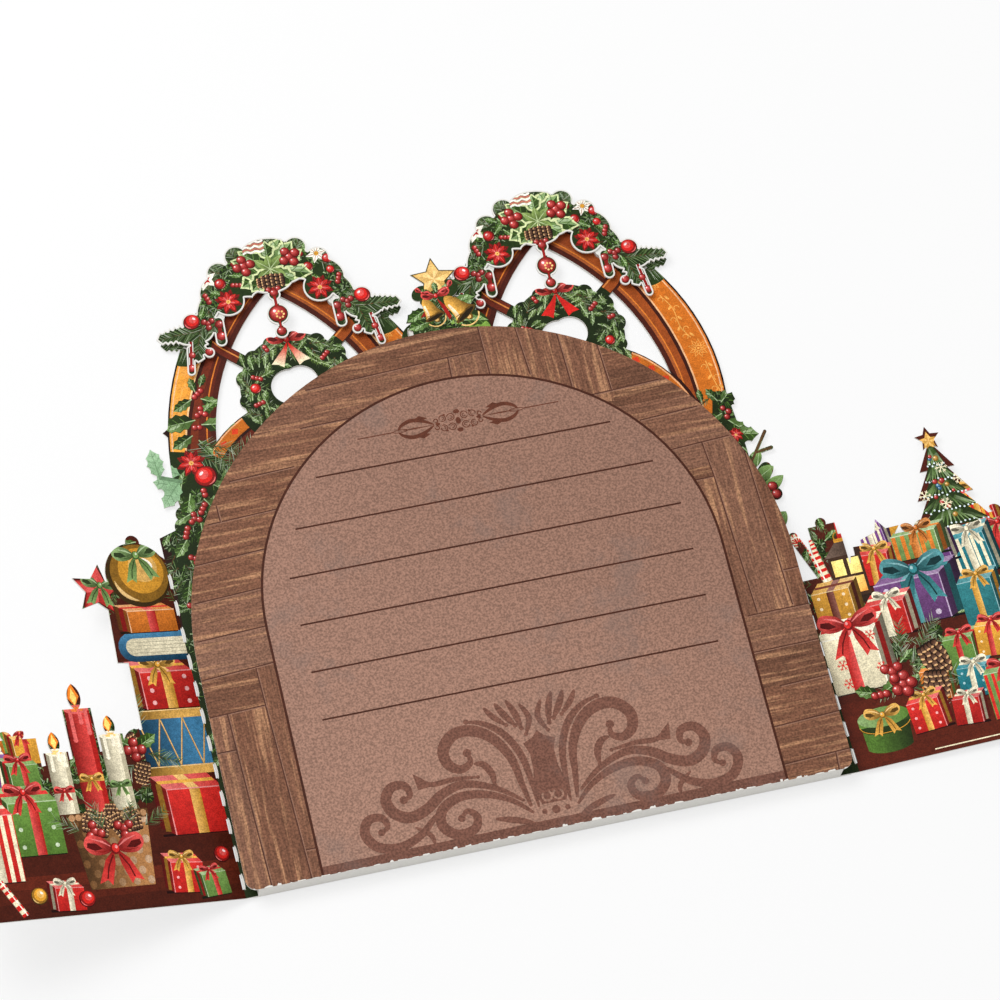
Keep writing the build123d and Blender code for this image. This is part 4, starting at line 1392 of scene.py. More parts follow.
def print_side_growth(pen):
    """Holly, fir, berries and flowers up the sheet's sides, and pale leaves past its left edge."""
    rng = random.Random(21)
    green, red = inks("green", "red")
    pale = (0.52, 0.68, 0.50)
    dark = tone(green, -0.68)
    pen.fill([(-64, -2), (-50, -2), (-46, 60), (-44, 88), (-49, 92), (-57, 94), (-61, 70)], dark)
    pen.fill([(64, -2), (50, -2), (48, 60), (54, 84), (60, 84), (66, 66)], dark)
    thicket(pen, lambda x, y: x < -50 + (y - 60) * 0.14 and x > -62, (-62, 28, -44, 86), 190, green, rng)
    thicket(pen, lambda x, y: x > 50, (50, 20, 63, 84), 150, green, rng)
    for x, y, turn, length, width in ((-56.4, 86.2, 158, 5.6, 3.8), (-59.6, 88.4, 97, 7.2, 4.1), (-56, 87.2,
            228, 6.8, 4.3), (-55.6, 88.6, 150, 4.4, 2.8)):
        leaf = pen.at(x, y, turn)
        leaf.fill(leaf_points(length, width), shade(tone(pale, -0.1), tone(pale, 0.2), (0, -1), (length, 1)))
        leaf.stroke([(0, 0), (length * 0.9, 0)], tail(0.3), tone(pale, -0.22))
        for share in (0.3, 0.5, 0.7):
            for side in (-1, 1):
                leaf.stroke([(length * share, 0), (length * (share + 0.14), side * width * 0.3)], 0.14,
                    tone(pale, -0.15))
    pen.stroke([(-55.5, 87), (-59.8, 88.8)], 0.8, tone(pale, -0.25))
    for x, y, turn, length, width in ((-49, 105.6, 100, 3.4, 1.8), (-50, 104.2, 205, 4.6, 2.6), (-48.2, 104,
            330, 4.2, 2.5), (-47.9, 106.6, 60, 3, 1.7), (-50.2, 99.6, 182, 7.2, 4.2), (-49.2, 98.4, 350,
            6.8, 3.8), (-49.4, 100.4, 30, 4.2, 2.4), (-51.4, 96.4, 205, 5, 3), (-50.4, 95.2, 300, 4.4,
            2.6), (-51, 86.4, 320, 6.2, 3.6), (-54.4, 84.2, 250, 5.4, 3.2), (-52, 82.6, 300, 6, 3.6), (-55,
            80, 200, 4.4, 2.6), (-53.6, 77.6, 265, 5.2, 3.2), (-56.8, 75, 230, 4.8, 2.8), (-57.4, 71, 280,
            5, 3), (-55.2, 73, 330, 4.6, 2.8), (-58.2, 66, 250, 4.6, 2.8)):
        holly(pen, x, y, turn, length, width, tone(green, rng.uniform(-0.18, 0.12)))
    for x, y, turn, length, width in ((-53.2, 93.6, -38, 8.8, 4.6), (-51, 94.4, -20, 8, 4), (-45.6, 88.4,
            40, 7.4, 4.4), (-47.8, 92.4, -62, 6.4, 3.8), (-58.4, 69.4, 300, 6.4, 3.8), (-59, 63, 285, 6.2,
            3.8)):
        fir(pen, x, y, turn, length, width, tone(green, 0.08), rng, 14)
    for x, y, count in ((-48.6, 105.2, 3), (-48.8, 101, 4), (-49.7, 97.9, 2), (-51.6, 83.4, 2), (-54.6,
            78.8, 4), (-52.6, 80.6, 3), (-56.8, 76.2, 3), (-56.2, 70.4, 4), (-58.4, 61, 3)):
        berries(pen, x, y, 0.62, red, count, 40 * x)
    poinsettia(pen, -52.9, 90.6, 3.1, red, 12)
    bauble(pen, -50.6, 87.2, 2.3, red)
    for x, y, turn, length, width in ((54.8, 82.6, 120, 3.6, 2.2), (55.4, 82.2, 40, 4.4, 2.6), (55, 79.8,
            200, 4, 2.4), (55.4, 78.6, 312, 7, 3.8), (55.2, 75, 350, 6.4, 4), (54, 76.6, 250, 4.2, 2.4),
            (57.2, 71.8, 300, 4.4, 2.6), (58, 68, 200, 4.2, 2.4), (57.2, 58.8, 250, 4.6, 2.6), (58.8, 56.4,
            320, 4.4, 2.4), (59, 50, 250, 4.8, 2.8)):
        holly(pen, x, y, turn, length, width, tone(green, rng.uniform(-0.2, 0.1)))
    for x, y, turn, length, width in ((57.8, 64, 28, 5.6, 2.9), (58.5, 61, 30, 6.2, 2.9), (58.2, 52.6, 42,
            6, 3.4), (59, 66.6, 70, 4.4, 2.4)):
        twig_leaf(pen, x, y, turn, length, width, tone(green, 0.04))
    pen.stroke([(57, 66.5), (62.7, 74.4)], 0.5, (0.34, 0.24, 0.14))
    pen.stroke([(59.6, 70), (63.1, 70.5)], 0.5, (0.34, 0.24, 0.14))
    for x, y, radius in ((61, 62.3, 0.95), (61.4, 60.5, 0.95), (59.4, 58.9, 0.8), (55.8, 78.9, 0.6), (56.4,
            80, 0.6), (55.4, 80.9, 0.55), (56.6, 75.6, 0.6), (57.2, 65.4, 0.7)):
        pen.fill(circle(x + 0.1, y - 0.15, radius * 1.15), tone(red, -0.8))
        pen.ball(x, y, radius, red)
    poinsettia(pen, 56.6, 74.6, 1.7, red)


def print_gable(pen):
    """Green bush between the windows, behind the bells."""
    rng = random.Random(5)
    green = tuple(colours().green)
    for x, y, radius in ((1.5, 104.5, 6.5), (7, 105, 5), (-1.5, 108, 4), (3, 109, 4.2)):
        pen.fill(circle(x, y, radius), tone(green, -0.6))
    for x, y, radius in ((8.4, 104.6, 4.4), (5, 103.4, 4.6)):
        pen.fill(circle(x, y, radius), shade((0.50, 0.62, 0.26), (0.30, 0.44, 0.16), (x, y + radius), (x,
            y - radius)))
    thicket(pen, lambda x, y: (x - 1) ** 2 + (y - 106) ** 2 < 40, (-6, 100, 8, 113), 60, green, rng, (2,
        3.2))


# ---------------------------------------------------------------- raised layers
def print_garland(pen, seed):
    """Garland over a window: fir and holly, two winter flowers, baubles, berries and a hung ball."""
    rng = random.Random(seed)
    green, red = inks("green", "red")
    rim = (0.80, 0.84, 0.62)
    pen.fill([(-30, -16), (30, -16), (30, 20), (-30, 20)], tone(green, -0.62))
    for i in range(15):
        angle = math.radians(6 + 12 * i)
        x = 8.6 * math.cos(angle)
        y = 9.6 + 3.9 * math.sin(angle)
        fir(pen, x, y, math.degrees(angle) + rng.uniform(-20, 20), 4.4, 3,
            tone(green, rng.uniform(-0.05, 0.2)), rng, 10)
    for side in (-1, 1):
        half = pen if side > 0 else pen.at(0, 0, 180, 1, True)
        fir(half, 16.4, -2.4, -4, 9, 4.6, tone(green, 0.05), rng, 20)
        fir(half, 15.4, 0.4, 18, 5, 3.2, green, rng, 12)
        fir(half, 16.4, -3, -74, 6.2, 4.2, green, rng, 14)
        fir(half, 14.6, -2.2, -100, 5, 3.4, tone(green, -0.1), rng, 12)
        for x, y, turn, length in ((12.4, 2, -50, 6.4), (11.6, 5.4, -30, 5.6), (11, 8.6, -44, 5.6), (9.8,
                9.4, 20, 4.4), (13.6, 3, -84, 5.6), (12.8, 6.4, 60, 4), (8, 11.8, 30, 4.2), (6.4, 12.4, 64,
                3.4), (12.8, -0.6, -70, 4.6), (15.2, 1.6, -30, 4.2)):
            fir(half, x, y, turn, length, length * 0.66, tone(green, rng.uniform(-0.15, 0.1)), rng, 12)
        for i in range(16):
            x = rng.uniform(6.5, 15.6)
            y = 10.4 - (x - 6.5) * 1.15 + rng.uniform(-2, 2.6)
            if i % 2:
                tuft(half, x, y, 1.5, green, rng, 14)
            else:
                holly(half, x, y, rng.uniform(0, 360), 2.8, 1.5, green)
        tail_end = [(18.6, -4.4), (18.9, -6.4), (19.4, -9.4), (19.6, -10.6)]
        half.stroke(tail_end, 0.9, WHITE, "bare")
        half.stroke(tail_end[:3], 0.55, tone(red, -0.35))
        half.ball(19.5, -10.2, 0.85, red)
        half.ball(18.9, -7.4, 0.75, red)
        half.ball(15.3, -7.2, 0.85, red)
        half.stroke([(12.3, -0.8), (12.3, -3.6)], 0.8, tone(red, -0.4))
        half.ball(12.3, -4.2, 1, red)
        half.ball(12.2, -1.6, 0.9, tone(red, -0.1))
        half.ball(10.4, -1, 0.8, red)
        bauble(half, 17.7, -0.1, 1.75, red)
        berries(half, 14.4, -1, 0.62, tone(red, -0.1), 4, 30)
        berries(half, 13.6, 4.4, 0.55, red, 3, 70)
        berries(half, 7.2, 6.4, 0.5, red, 3, 10)
        poinsettia(half, 9.5, 3, 2.9, red, 20)
        berries(half, 6, 10.9, 0.62, red, 4, 15)
    pen.at(-13.1, 8.6, 12).fill(star_points(2.5), (0.94, 0.92, 0.86))
    pen.at(-13.1, 8.6, 12).fill(star_points(1.1), tone(red, -0.2))
    bauble(pen, -10.4, 7.2, 1.25, tone(red, -0.15))
    bauble(pen, -13.9, 10.2, 1, tone(red, -0.2))
    flower = pen.at(10.2, 10.6)
    for i in range(6):
        ray = flower.at(0, 0, 60 * i + 10)
        ray.fill([(0.2, 0), (1, 0.55), (2.3, 0), (1, -0.55)], (0.95, 0.93, 0.88))
        ray.stroke([(0.5, 0), (1.9, 0)], 0.14, (0.62, 0.42, 0.30))
    flower.fill(circle(0, 0, 0.5), tone(colours().gold, -0.1))
    bauble(pen, 12.2, 9.2, 1.1, tone(red, -0.1))
    bauble(pen, 8, 8, 1.1, tone(red, -0.2))
    bauble(pen, 12.4, 6.6, 0.9, red)
    for turn, length in ((206, 7.6), (158, 8.4), (-16, 8.8), (24, 8), (64, 7.6), (118, 7.4), (190, 5.8),
            (-40, 6.4), (224, 6.6), (90, 6.4), (140, 7.8), (44, 7.8)):
        holly(pen, 0.3, 8.8, turn, length, 4.6, tone(green, rng.uniform(-0.2, 0.08)), rim)
    for turn, length in ((140, 4.8), (45, 4.8), (215, 4.4), (-35, 4.6), (92, 4)):
        twig_leaf(pen, 0.3, 8.8, turn, length * 0.8, 1.7, (0.44, 0.56, 0.20))
    for i in range(5):
        level = 13.1 + 0.55 * i
        wave = flowing([(-4.6 + 0.9 * k, level + (0.16 if k % 2 else -0.16)) for k in range(6)], 4)
        pen.stroke(wave, 0.42, (0.94, 0.92, 0.88) if i % 2 == 0 else (0.72, 0.42, 0.36))
    berries(pen, -5, 10.4, 0.95, red, 5, 10)
    berries(pen, 4.6, 10.9, 0.95, red, 5, 30)
    pinecone(pen, 2.9, 6, 180, 6, 3.4)
    pen.stroke([(0, 4.6), (0, -0.2)], 0.55, tone(red, -0.3))
    pen.ball(0, 3.4, 0.85, red)
    pen.ball(-1, 4.2, 0.6, red)
    pen.ball(1, 4.2, 0.6, red)
    pen.ball(0, -1.3, 1.8, red)
    for i in range(7):
        angle = 2 * math.pi * i / 7
        pen.fill(circle(0.35 + 0.75 * math.cos(angle), -1.6 + 0.75 * math.sin(angle), 0.24, 8),
            tone(colours().gold, 0.35))
    pen.stroke([(0, -3), (0, -4.6)], 0.4, tone(red, -0.3))
    pen.ball(0, -5.2, 0.95, red)


def print_bells(pen):
    """Spray between the windows: golden star, two bells, a red ribbon and leaves."""
    rng = random.Random(8)
    green, red, gold = inks("green", "red", "gold")
    pen.fill([(-10, 96), (18, 96), (18, 126), (-10, 126)], tone(green, -0.6))
    pen.fill(oval(8.4, 107.2, 4.4, 3.2, -16), shade((0.55, 0.68, 0.30), (0.34, 0.50, 0.18), (8, 110), (8,
        104)))
    thicket(pen, lambda x, y: (x - 3) ** 2 + (y - 110) ** 2 < 36, (-3.5, 104, 9, 116), 70, green, rng, (2,
        3.4))
    for x, y, turn, length in ((0.8, 113.4, 205, 5), (1, 110.6, 192, 5), (5.6, 113.6, 6, 5.4), (6.6, 109.6,
            -10, 6), (7.4, 112, 20, 4), (-0.6, 108.6, 230, 4.4)):
        holly(pen, x, y, turn, length, 2.7, green)
    gilded_star(pen, 3.6, 119.6, 4.7, between(gold, (0.95, 0.76, 0.42), 0.6), -4)
    for x, y, turn, length in ((2.4, 116.4, 150, 2.6), (4.4, 116.4, 40, 2.6), (3.4, 116.8, 90, 2.2)):
        holly(pen, x, y, turn, length, 1.5, tone(green, 0.1))
    for side, x in ((-1, 1.6), (1, 5)):
        pen.fill([(x, 115.6), (x + side * 1.4, 113), (x + side * 2.6, 111.6), (x + side * 1.4, 111.8),
            (x + side * 0.4, 112.4)], shade(tone(red, -0.1), tone(red, -0.45), (x, 115), (x, 111)))
    bell(pen, 0.4, 115.9, 4.9, gold, 20)
    bell(pen, 4.6, 115.6, 6.1, gold, 38)
    pen.fill([(3.2, 115.4), (4, 112.6), (4.8, 110), (5.4, 110.8), (4.6, 113.4)], tone(red, -0.25))
    ribbon_bow(pen, 3.2, 115.9, 2.9, red, 4, tails=False)
    ribbon_bow(pen, 5.9, 117.2, 1.7, tone(red, 0.05), 40, tails=False)
    ribbon_bow(pen, 0.5, 117.1, 1.5, red, -30, tails=False)


# ---------------------------------------------------------------- wings
def heap(pen, rng, places):
    """Small presents in mixed papers: places holds (x, y, width, height)."""
    red = tuple(colours().red)
    green = tone(colours().green, 0.08)
    gold, cream = inks("gold", "cream")
    papers = (red, green, (0.12, 0.46, 0.50), gold, tone(colours().blue, 0.08), (0.46, 0.26, 0.52),
              tuple(colours().orange))
    ribbons = (gold, red, cream, red, gold, cream, green)
    for i, (x, y, width, height) in enumerate(places):
        k = (i * 3 + rng.randrange(2)) % 7
        gift(pen, x, y, width, height, papers[k], ribbons[k], rng.uniform(-5, 5), 0.22,
             (None, "dots", "stripes", None)[i % 4], 1.15)


def print_left_wing(pen):
    """Heap of presents on a floor of boards: gift boxes, a toy drum, books, candles and a basket of cones."""
    rng = random.Random(31)
    green, red, gold, blue, maroon, cream = inks("green", "red", "gold", "blue", "maroon", "cream")
    pen.fill([(-3, -3), (64, -3), (64, 90), (-3, 90)], tone(maroon, -0.3))
    for i in range(7):
        low = -2 + 2.6 * i
        pen.fill([(-3, low), (64, low), (64, low + 2.5), (-3, low + 2.5)], tone(maroon, rng.uniform(-0.35,
            0.05)))
    thicket(pen, lambda x, y: y > 22 - x * 0.1 and x < 40, (10, 12, 40, 44), 150, green, rng)
    thicket(pen, lambda x, y: y > 60, (-1, 60, 24, 78), 40, green, rng)
    heap(pen, rng, ((58.6, 33, 8, 7.5), (52, 34.4, 8, 8.2), (45.2, 33, 8, 9.2), (39.2, 30.6, 6.4, 7), (60,
        25.4, 8, 9.4), (54.4, 26.8, 8.6, 9), (47.6, 25.4, 8.4, 9.2), (40.8, 24.4, 7.6, 8)))
    gift(pen, 7, 14, 15, 12.2, red, gold, 0, 0.2, None, 0)
    drum(pen, 7, 26.2, 14.6, 13.6, blue, gold)
    gift(pen, 7.2, 40, 14.2, 10.2, tone(red, -0.1), gold, 0, 0.2, "dots", 0.9)
    book(pen, 7, 50, 15, 6.2, blue, cream)
    gift(pen, 7.2, 56.2, 12.8, 6, tuple(colours().orange), red, 0, 0.2, None, 0)
    gilded_star(pen, 16.2, 65.6, 5.6, red, 8)
    ribbon_bow(pen, 15.6, 66.6, 3.8, tone(green, 0.15), 10)
    bauble(pen, 6.8, 68.3, 6.8, tone(gold, -0.12))
    ribbon_bow(pen, 6.4, 72.6, 4.8, tone(green, 0.15), -6)
    for x, y, turn, length in ((15, 36, 100, 7), (18, 33, 30, 7.4), (13.5, 31, 200, 6.4), (17, 29, 320, 7),
            (14, 43, 70, 6), (16, 39, 20, 6.4)):
        fir(pen, x, y, turn, length, length * 0.6, tone(green, 0.05), rng, 16)
    pinecone(pen, 17.4, 35.4, 250, 5.6, 3.8)
    pinecone(pen, 14.8, 29.6, 290, 5, 3.4)
    holly(pen, 16.4, 32.4, 30, 6, 3.4, green)
    holly(pen, 15.8, 32.2, 150, 5.4, 3.2, green)
    berries(pen, 16.2, 32, 1, red, 5, 0)
    candle(pen, 32.8, 20, 4.4, 12.6, cream, red)
    candle(pen, 20.8, 19, 4.6, 16.4, cream, tone(green, 0.1))
    candle(pen, 26.6, 18.5, 5.2, 22.6, red, gold)
    gift(pen, 41.4, 12.4, 13, 14, tone(green, 0.05), red, 0, 0.22, "dots", 1)
    gift(pen, 57.4, 9, 10, 12.2, tone(gold, -0.05), red, 0, 0.2, None, 1)
    gift(pen, 50.4, 7.6, 11.8, 16.4, red, cream, 0, 0.22, "stripes", 1)
    basket(pen, 25, 4.6, 16.4, 14.4, (0.62, 0.40, 0.20))
    for x, y, turn in ((19.6, 17.6, 80), (24.4, 18.4, 95), (29.6, 17.8, 110), (22, 16.6, 70), (27.4, 16.8,
            100)):
        pinecone(pen, x, y - 2, turn, 5, 3.6)
    for x, turn in ((17.6, 150), (21.4, 110), (26.6, 75), (31.6, 30)):
        fir(pen, x, 16.6, turn, 5.2, 3.2, tone(green, 0.1), rng, 12)
    berries(pen, 22.2, 16.4, 0.9, red, 4, 30)
    berries(pen, 28.4, 16.2, 0.9, red, 4, 80)
    ribbon_bow(pen, 25, 12.4, 6, red)
    gift(pen, 12.2, 2.4, 8.6, 8, red, gold, 4, 0.22, "dots", 1)
    gift(pen, 6, 1.2, 6.6, 6, tone(green, 0.12), red, -5, 0.22, None, 1)
    gift(pen, 37.2, 1, 7.4, 6, red, cream, 3, 0.22, None, 1)
    candy_cane(pen, [(46, 0.8), (48.6, 5.4), (50.2, 8), (52.4, 8.6), (53.4, 6.8)], 1.4, red, cream)
    for x, y in ((3, 9.4), (33, 3), (42.6, 4.4), (57, 4)):
        bauble(pen, x, y, 1.7, red if x < 40 else gold)


def print_right_wing(pen):
    """Heap of presents: lantern, gift boxes with bows, a hat box, cones, a little fir and a candy cane."""
    rng = random.Random(47)
    green, red, gold, blue, maroon, cream, orange = inks("green", "red", "gold", "blue", "maroon", "cream",
        "orange")
    teal = (0.16, 0.46, 0.48)
    violet = (0.40, 0.24, 0.44)
    pen.fill([(-3, -3), (64, -3), (64, 90), (-3, 90)], tone(maroon, -0.25))
    for i in range(6):
        low = -2 + 2.7 * i
        pen.fill([(-3, low), (64, low), (64, low + 2.6), (-3, low + 2.6)], tone(maroon, rng.uniform(-0.3,
            0.08)))
    thicket(pen, lambda x, y: True, (12, 14, 50, 34), 120, green, rng)
    thicket(pen, lambda x, y: y > 34, (-1, 34, 14, 56), 50, green, rng)
    heap(pen, rng, ((54, 44, 9, 10), (46.6, 45, 9, 11), (40, 44, 8, 10), (57.6, 34.4, 9, 10.6), (50.4, 35.6,
        9.4, 10.4), (42.8, 35, 9.4, 10.4), (17, 43.6, 7, 8), (12.2, 47.6, 5.6, 6.2), (23.4, 46, 6.4, 8.6),
        (15.4, 36.8, 8, 8.6), (36.4, 34.4, 9.6, 11), (28.6, 38.4, 8.6, 9.6)))
    fir_tree(pen, 33.5, 46, 14.5, 18.6, tone(green, 0.05), rng)
    for x, y in ((29.4, 53), (37.2, 55.4), (33.2, 50.6), (34.4, 58.4)):
        snowflake(pen, x, y, 1.3, cream)
    gilded_star(pen, 33.5, 64.4, 2.3, gold)
    candy_cane(pen, [(5.4, 38), (4.6, 42), (3.9, 46), (3.4, 48.6), (2.2, 50.2), (0.6, 50), (0.2, 48.4)], 2,
        red, cream)
    gift(pen, 25.6, 40.6, 11.6, 7, tone(green, 0.2), orange, 0, 0.2, "stripes", 0.9)
    gift(pen, 22.6, 27, 18, 12.6, violet, teal, 0, 0.24, "dots", 1.2)
    gift(pen, 34.6, 24, 9, 11.6, teal, gold, 0, 0.22, None, 1)
    lantern(pen, 9.6, 34, 7.6, 15, (0.30, 0.20, 0.14))
    gift(pen, 5.8, 31, 10, 8.8, tone(gold, -0.1), maroon, 0, 0.22, "dots", 0)
    gift(pen, 15.6, 25.6, 10.4, 9.4, tone(red, -0.05), cream, 0, 0.22, None, 0.9)
    gift(pen, 44.2, 20, 12, 13.6, tone(blue, 0.05), red, 0, 0.22, None, 1.1)
    gift(pen, 54.2, 17, 12.4, 17, tone(gold, -0.05), red, 0, 0.22, "stripes", 1.1)
    gift(pen, 6.4, 16, 14.6, 15.4, cream, red, 0, 0.2, None, 1.35)
    for x, y in ((3, 22), (10.6, 20), (3.2, 18), (10, 27)):
        snowflake(pen, x, y, 1.2, red)
    for x, y, turn, length in ((16, 19, 30, 8), (17, 17, -10, 8.4), (15, 21, 80, 7), (19, 22, 50, 7), (14,
            16, 200, 6)):
        fir(pen, x, y, turn, length, length * 0.55, tone(green, 0.1), rng, 18)
    heap(pen, rng, ((27.4, 14.6, 7.6, 9.6), (34, 17, 7.4, 8.4), (40.4, 14, 8.4, 9.4), (52, 12.6, 8.8, 8.6),
        (20.4, 10.6, 7, 8), (28.2, 9.6, 7.6, 8), (39.4, 8.4, 7.4, 8.4), (52, 6, 8.2, 8.8)))
    fir(pen, 15, 14, 10, 9, 5, tone(green, 0.15), rng, 18)
    fir(pen, 14, 12.6, -30, 7, 4.2, tone(green, 0.1), rng, 16)
    pinecone(pen, 20.2, 22.6, 290, 7.2, 5.6)
    pinecone(pen, 20.6, 16.8, 262, 6.6, 5.4)
    hat_box(pen, 7.8, 2.4, 10.6, 9.6, tone(green, 0.05), gold)
    gift(pen, 17.4, 5, 8.4, 8.2, red, gold, 3, 0.22, "dots", 1)
    gift(pen, 25.2, 4.4, 7, 7, tone(red, -0.1), cream, -4, 0.22, None, 1)
    gift(pen, 34.4, 4, 9.4, 12, tone(green, 0.15), red, 0, 0.22, "stripes", 1.1)
    gift(pen, 46, 3.4, 10.6, 11.4, red, gold, 2, 0.22, "dots", 1.1)
    drum(pen, 56.4, 3.4, 9.4, 9.6, blue, gold)
    holly(pen, 8.8, 14.6, 20, 5.4, 3, green)
    holly(pen, 8.4, 14.6, 160, 5, 3, green)
    berries(pen, 13.6, 15.6, 1.15, red, 6, 0)
    berries(pen, 12.2, 18.6, 1, red, 4, 30)
    berries(pen, 8.6, 14.4, 0.8, red, 3, 0)
    pen.stroke([(16, 1), (64, 1)], 0.24, cream)


def under_panel(x, y):
    """Places so deep under the writing panel that they are never seen."""
    half = PANEL_HALF - 7
    if abs(x) > half:
        return False
    return y < 40 or (y < 104 - 7 and (x / half) ** 2 + ((y - 40) / 56) ** 2 < 1)


def print_window_sheet(pen):
    maroon = tuple(colours().maroon)
    pen.fill([(-75, -3), (75, -3), (75, 130), (-75, 130)], tone(maroon, -0.62))
    for place, gilt, tails in ((WINDOWS[0], 0.75, tuple(colours().cream)), (WINDOWS[1], 0.12,
            tuple(colours().red))):
        window = pen.at(place[0], place[1], WINDOW_TURN)
        print_window_frame(window, gilt)
        print_wreath(window, 60 + int(place[0]), tails)
        rng = random.Random(int(place[0]))
        for side in (-1, 1):
            window.fill(circle(side * 20, -4, 5.6), tone(colours().green, -0.55))
            for turn in (-24, 4, 30):
                away = 180 - turn if side < 0 else turn
                fir(window, side * 16.4, -4.1, away, 7, 4.4, tone(colours().green, 0.1), rng, 14)
            window.stroke([(side * 14.4, -3), (side * 17.4, -7.4), (side * 20.4, -5.2)], 0.4, WHITE, "bare")
    print_gable(pen)
    print_side_growth(pen)
    for side, count in ((-1, 12), (1, 8)):
        for i in range(count):
            y = 1.8 + SLIT_LENGTH / 2 + SLIT_PITCH * i
            x = FOLD_X[side] - math.tan(math.radians(FOLD_LEAN)) * y * 1
            pen.fill(oval(x - side * 0.3, y, 0.25, SLIT_LENGTH / 2 + 0.2, FOLD_LEAN, 10), WHITE, "bare")


# ---------------------------------------------------------------- operators
CARD_NODES = ("backing_ply", "window_sheet", "message_panel", "garland_left", "garland_right", "bell_spray")


class CARD_OT_stock(bpy.types.Operator):
    """Give the card layers their white board and the spacers between them their foam"""
    bl_idname = "card.stock"
    bl_label = "Card Stock and Foam"

    def execute(self, context):
        for name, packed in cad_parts.items():
            kind = "bare" if name in CARD_NODES else "foam"
            material = ink_material(kind)
            if not packed.material_slots:
                packed.data.materials.append(material)
            for slot in packed.material_slots:
                slot.material = material
        return {"FINISHED"}


class CARD_OT_message_panel(bpy.types.Operator):
    """Print the writing panel: boards, the plain field with its ornaments and the ruled lines"""
    bl_idname = "card.message_panel"
    bl_label = "Message Panel Print"

    def execute(self, context):
        sheet = Sheet("message_panel_print", level_face("message_panel", PANEL_TOP))
        print_boards(sheet.pen)
        print_field(sheet.pen)
        print_scrollwork(sheet.pen)
        print_header(sheet.pen)
        print_lines(sheet.pen)
        print_cracked_crease(sheet.pen)
        sheet.printed()
        return {"FINISHED"}


class CARD_OT_window_sheet(bpy.types.Operator):
    """Print the middle of the window sheet: both windows, their wreaths and the greenery at the sides"""
    bl_idname = "card.window_sheet"
    bl_label = "Window Sheet Print"

    def execute(self, context):
        sheet = Sheet("window_sheet_print", level_face("window_sheet", SHEET_TOP))
        sheet.hidden = under_panel
        print_window_sheet(sheet.pen)
        sheet.printed()
        return {"FINISHED"}


class CARD_OT_wings(bpy.types.Operator):
    """Print the two folded wings with their heaps of presents"""
    bl_idname = "card.wings"
    bl_label = "Wing Prints"

    def execute(self, context):
        for side, name, draw in ((-1, "left_wing_print", print_left_wing), (1, "right_wing_print",
                print_right_wing)):
            sheet = Sheet(name, wing_face(side))
            draw(sheet.pen)
            sheet.printed()
        return {"FINISHED"}


class CARD_OT_garlands(bpy.types.Operator):
    """Print the two raised garlands over the windows"""
    bl_idname = "card.garlands"
    bl_label = "Garland Prints"

    def execute(self, context):
        for i, node in enumerate(("garland_left", "garland_right")):
            sheet = Sheet(node + "_print", turned_face(node, WINDOWS[i], GARLAND_TOP))
            print_garland(sheet.pen, 80 + i)
            sheet.rim(0.62, WHITE)
            sheet.printed()
        return {"FINISHED"}


class CARD_OT_bell_spray(bpy.types.Operator):
    """Print the raised spray of bells with its golden star"""
    bl_idname = "card.bell_spray"
    bl_label = "Bell Spray Print"

    def execute(self, context):
        sheet = Sheet("bell_spray_print", level_face("bell_spray", SPRAY_TOP))
        print_bells(sheet.pen)
        sheet.printed()
        return {"FINISHED"}


# stage, in metres
CAMERA_AXES = ((0.97006731, 0.18674899, -0.15522314, -0.11578), (-0.23032458, 0.9101074, -0.34446351,
    -0.25013), (0.07694152, 0.36990449, 0.92587832, 0.72791), (0, 0, 0, 1),)
LENS = 140.616                   # on a 36 mm sensor
KEY_PLACE = (-0.42, 0.34, 0.95)
KEY_SIZE = 0.55
FLOOR_LEVEL = -0.0004            # just under the card's back
FLOOR_GLOW = 0.68                # share of plain white that the camera sees on the floor


class CARD_OT_stage(bpy.types.Operator):
    """Set the white floor, the soft studio light and the camera"""
    bl_idname = "card.stage"
    bl_label = "Floor, Light and Camera"

    def execute(self, context):
        stage = context.scene.card_stage
        bpy.ops.object.select_all(action="DESELECT")
        bpy.ops.mesh.primitive_plane_add(size=stage.floor_size, location=(0, 0, FLOOR_LEVEL))
        floor = context.object
        floor.name = "studio_floor"
        floor.data.materials.append(floor_material(stage.floor_white))
        bpy.ops.object.light_add(type="AREA", location=KEY_PLACE)
        key = context.object
        key.name = "studio_key"
        key.data.shape = "SQUARE"
        key.data.size = KEY_SIZE
        key.data.energy = stage.key_power
        key.rotation_euler = (Vector((0, 0, 0)) - key.location).to_track_quat("-Z", "Y").to_euler()
        bpy.ops.object.camera_add()
        camera = context.object
        camera.name = "studio_camera"
        camera.matrix_world = Matrix(CAMERA_AXES)
        camera.data.sensor_width = 36.0
        camera.data.lens = LENS
        context.scene.camera = camera
        white_world(context.scene, stage.sky_strength)
        context.scene.view_settings.view_transform = "Standard"
        return {"FINISHED"}


def floor_material(white):
    """White floor: the camera sees it almost white, and the card's shadow stays on it."""
    paint = Paint("studio_floor")
    bsdf = paint.make("ShaderNodeBsdfPrincipled", {}, {"Base Color": (white, white, white, 1.0),
        "Roughness": 0.9})
    glow = paint.make("ShaderNodeEmission", {}, {"Color": (1.0, 1.0, 1.0, 1.0), "Strength": 1.0})
    path = paint.make("ShaderNodeLightPath", {}, {})
    mixed = paint.make("ShaderNodeMixShader", {}, {0: path * FLOOR_GLOW, 1: bsdf, 2: glow})
    paint.feed(paint.output.inputs["Surface"], mixed)
    return paint.material


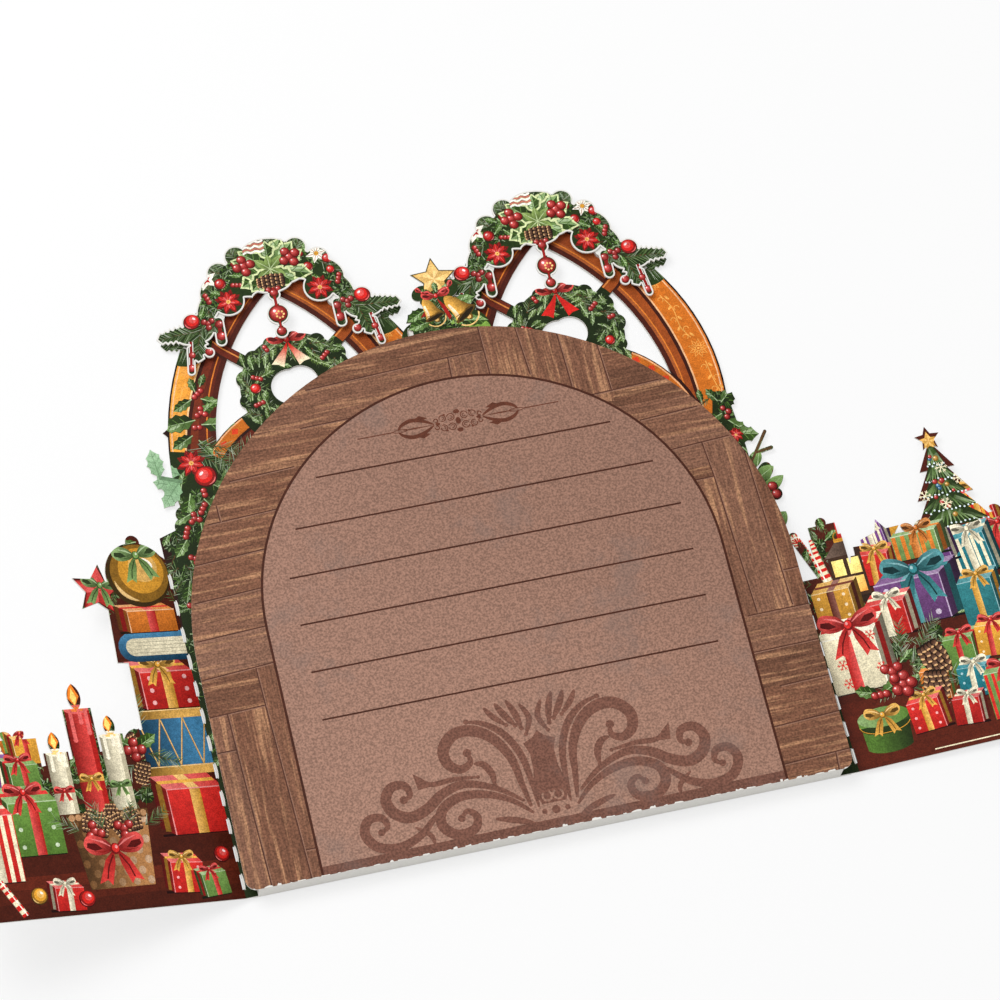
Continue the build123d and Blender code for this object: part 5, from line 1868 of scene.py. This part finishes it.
def white_world(scene, strength):
    world = bpy.data.worlds.new("studio_sky")
    scene.world = world
    world.use_nodes = True
    tree = world.node_tree
    tree.nodes.clear()
    path = tree.nodes.new("ShaderNodeLightPath")
    plain = tree.nodes.new("ShaderNodeBackground")
    plain.inputs["Color"].default_value = (1, 1, 1, 1)
    plain.inputs["Strength"].default_value = strength
    seen = tree.nodes.new("ShaderNodeBackground")
    seen.inputs["Color"].default_value = (1, 1, 1, 1)
    seen.inputs["Strength"].default_value = 1.0
    mix = tree.nodes.new("ShaderNodeMixShader")
    output = tree.nodes.new("ShaderNodeOutputWorld")
    tree.links.new(path.outputs["Is Camera Ray"], mix.inputs[0])
    tree.links.new(plain.outputs[0], mix.inputs[1])
    tree.links.new(seen.outputs[0], mix.inputs[2])
    tree.links.new(mix.outputs[0], output.inputs["Surface"])


class CARD_PT_panel(bpy.types.Panel):
    """The card's pieces in the sidebar"""
    bl_idname = "CARD_PT_panel"
    bl_label = "Layered Card"
    bl_space_type = "VIEW_3D"
    bl_region_type = "UI"
    bl_category = "Card"

    def draw(self, context):
        for piece in OPERATORS:
            self.layout.operator(piece.bl_idname)
        for group in ("card_colours", "card_sizes", "card_stage"):
            settings = getattr(context.scene, group)
            for name in settings.__annotations__:
                self.layout.prop(settings, name)


OPERATORS = (CARD_OT_stock, CARD_OT_message_panel, CARD_OT_window_sheet, CARD_OT_wings, CARD_OT_garlands,
             CARD_OT_bell_spray, CARD_OT_stage)
GROUPS = {"card_colours": CardColours, "card_sizes": CardSizes, "card_stage": CardStage}


def register():
    for part in tuple(GROUPS.values()) + OPERATORS + (CARD_PT_panel,):
        bpy.utils.register_class(part)
    for name, group in GROUPS.items():
        setattr(bpy.types.Scene, name, bpy.props.PointerProperty(type=group))


def unregister():
    for name in GROUPS:
        delattr(bpy.types.Scene, name)
    for part in (CARD_PT_panel,) + OPERATORS[::-1] + tuple(GROUPS.values())[::-1]:
        bpy.utils.unregister_class(part)


def main():
    register()
    bpy.ops.card.stock()
    bpy.ops.card.message_panel()
    bpy.ops.card.window_sheet()
    bpy.ops.card.wings()
    bpy.ops.card.garlands()
    bpy.ops.card.bell_spray()
    bpy.ops.card.stage()


if __name__ == "__main__":
    main()
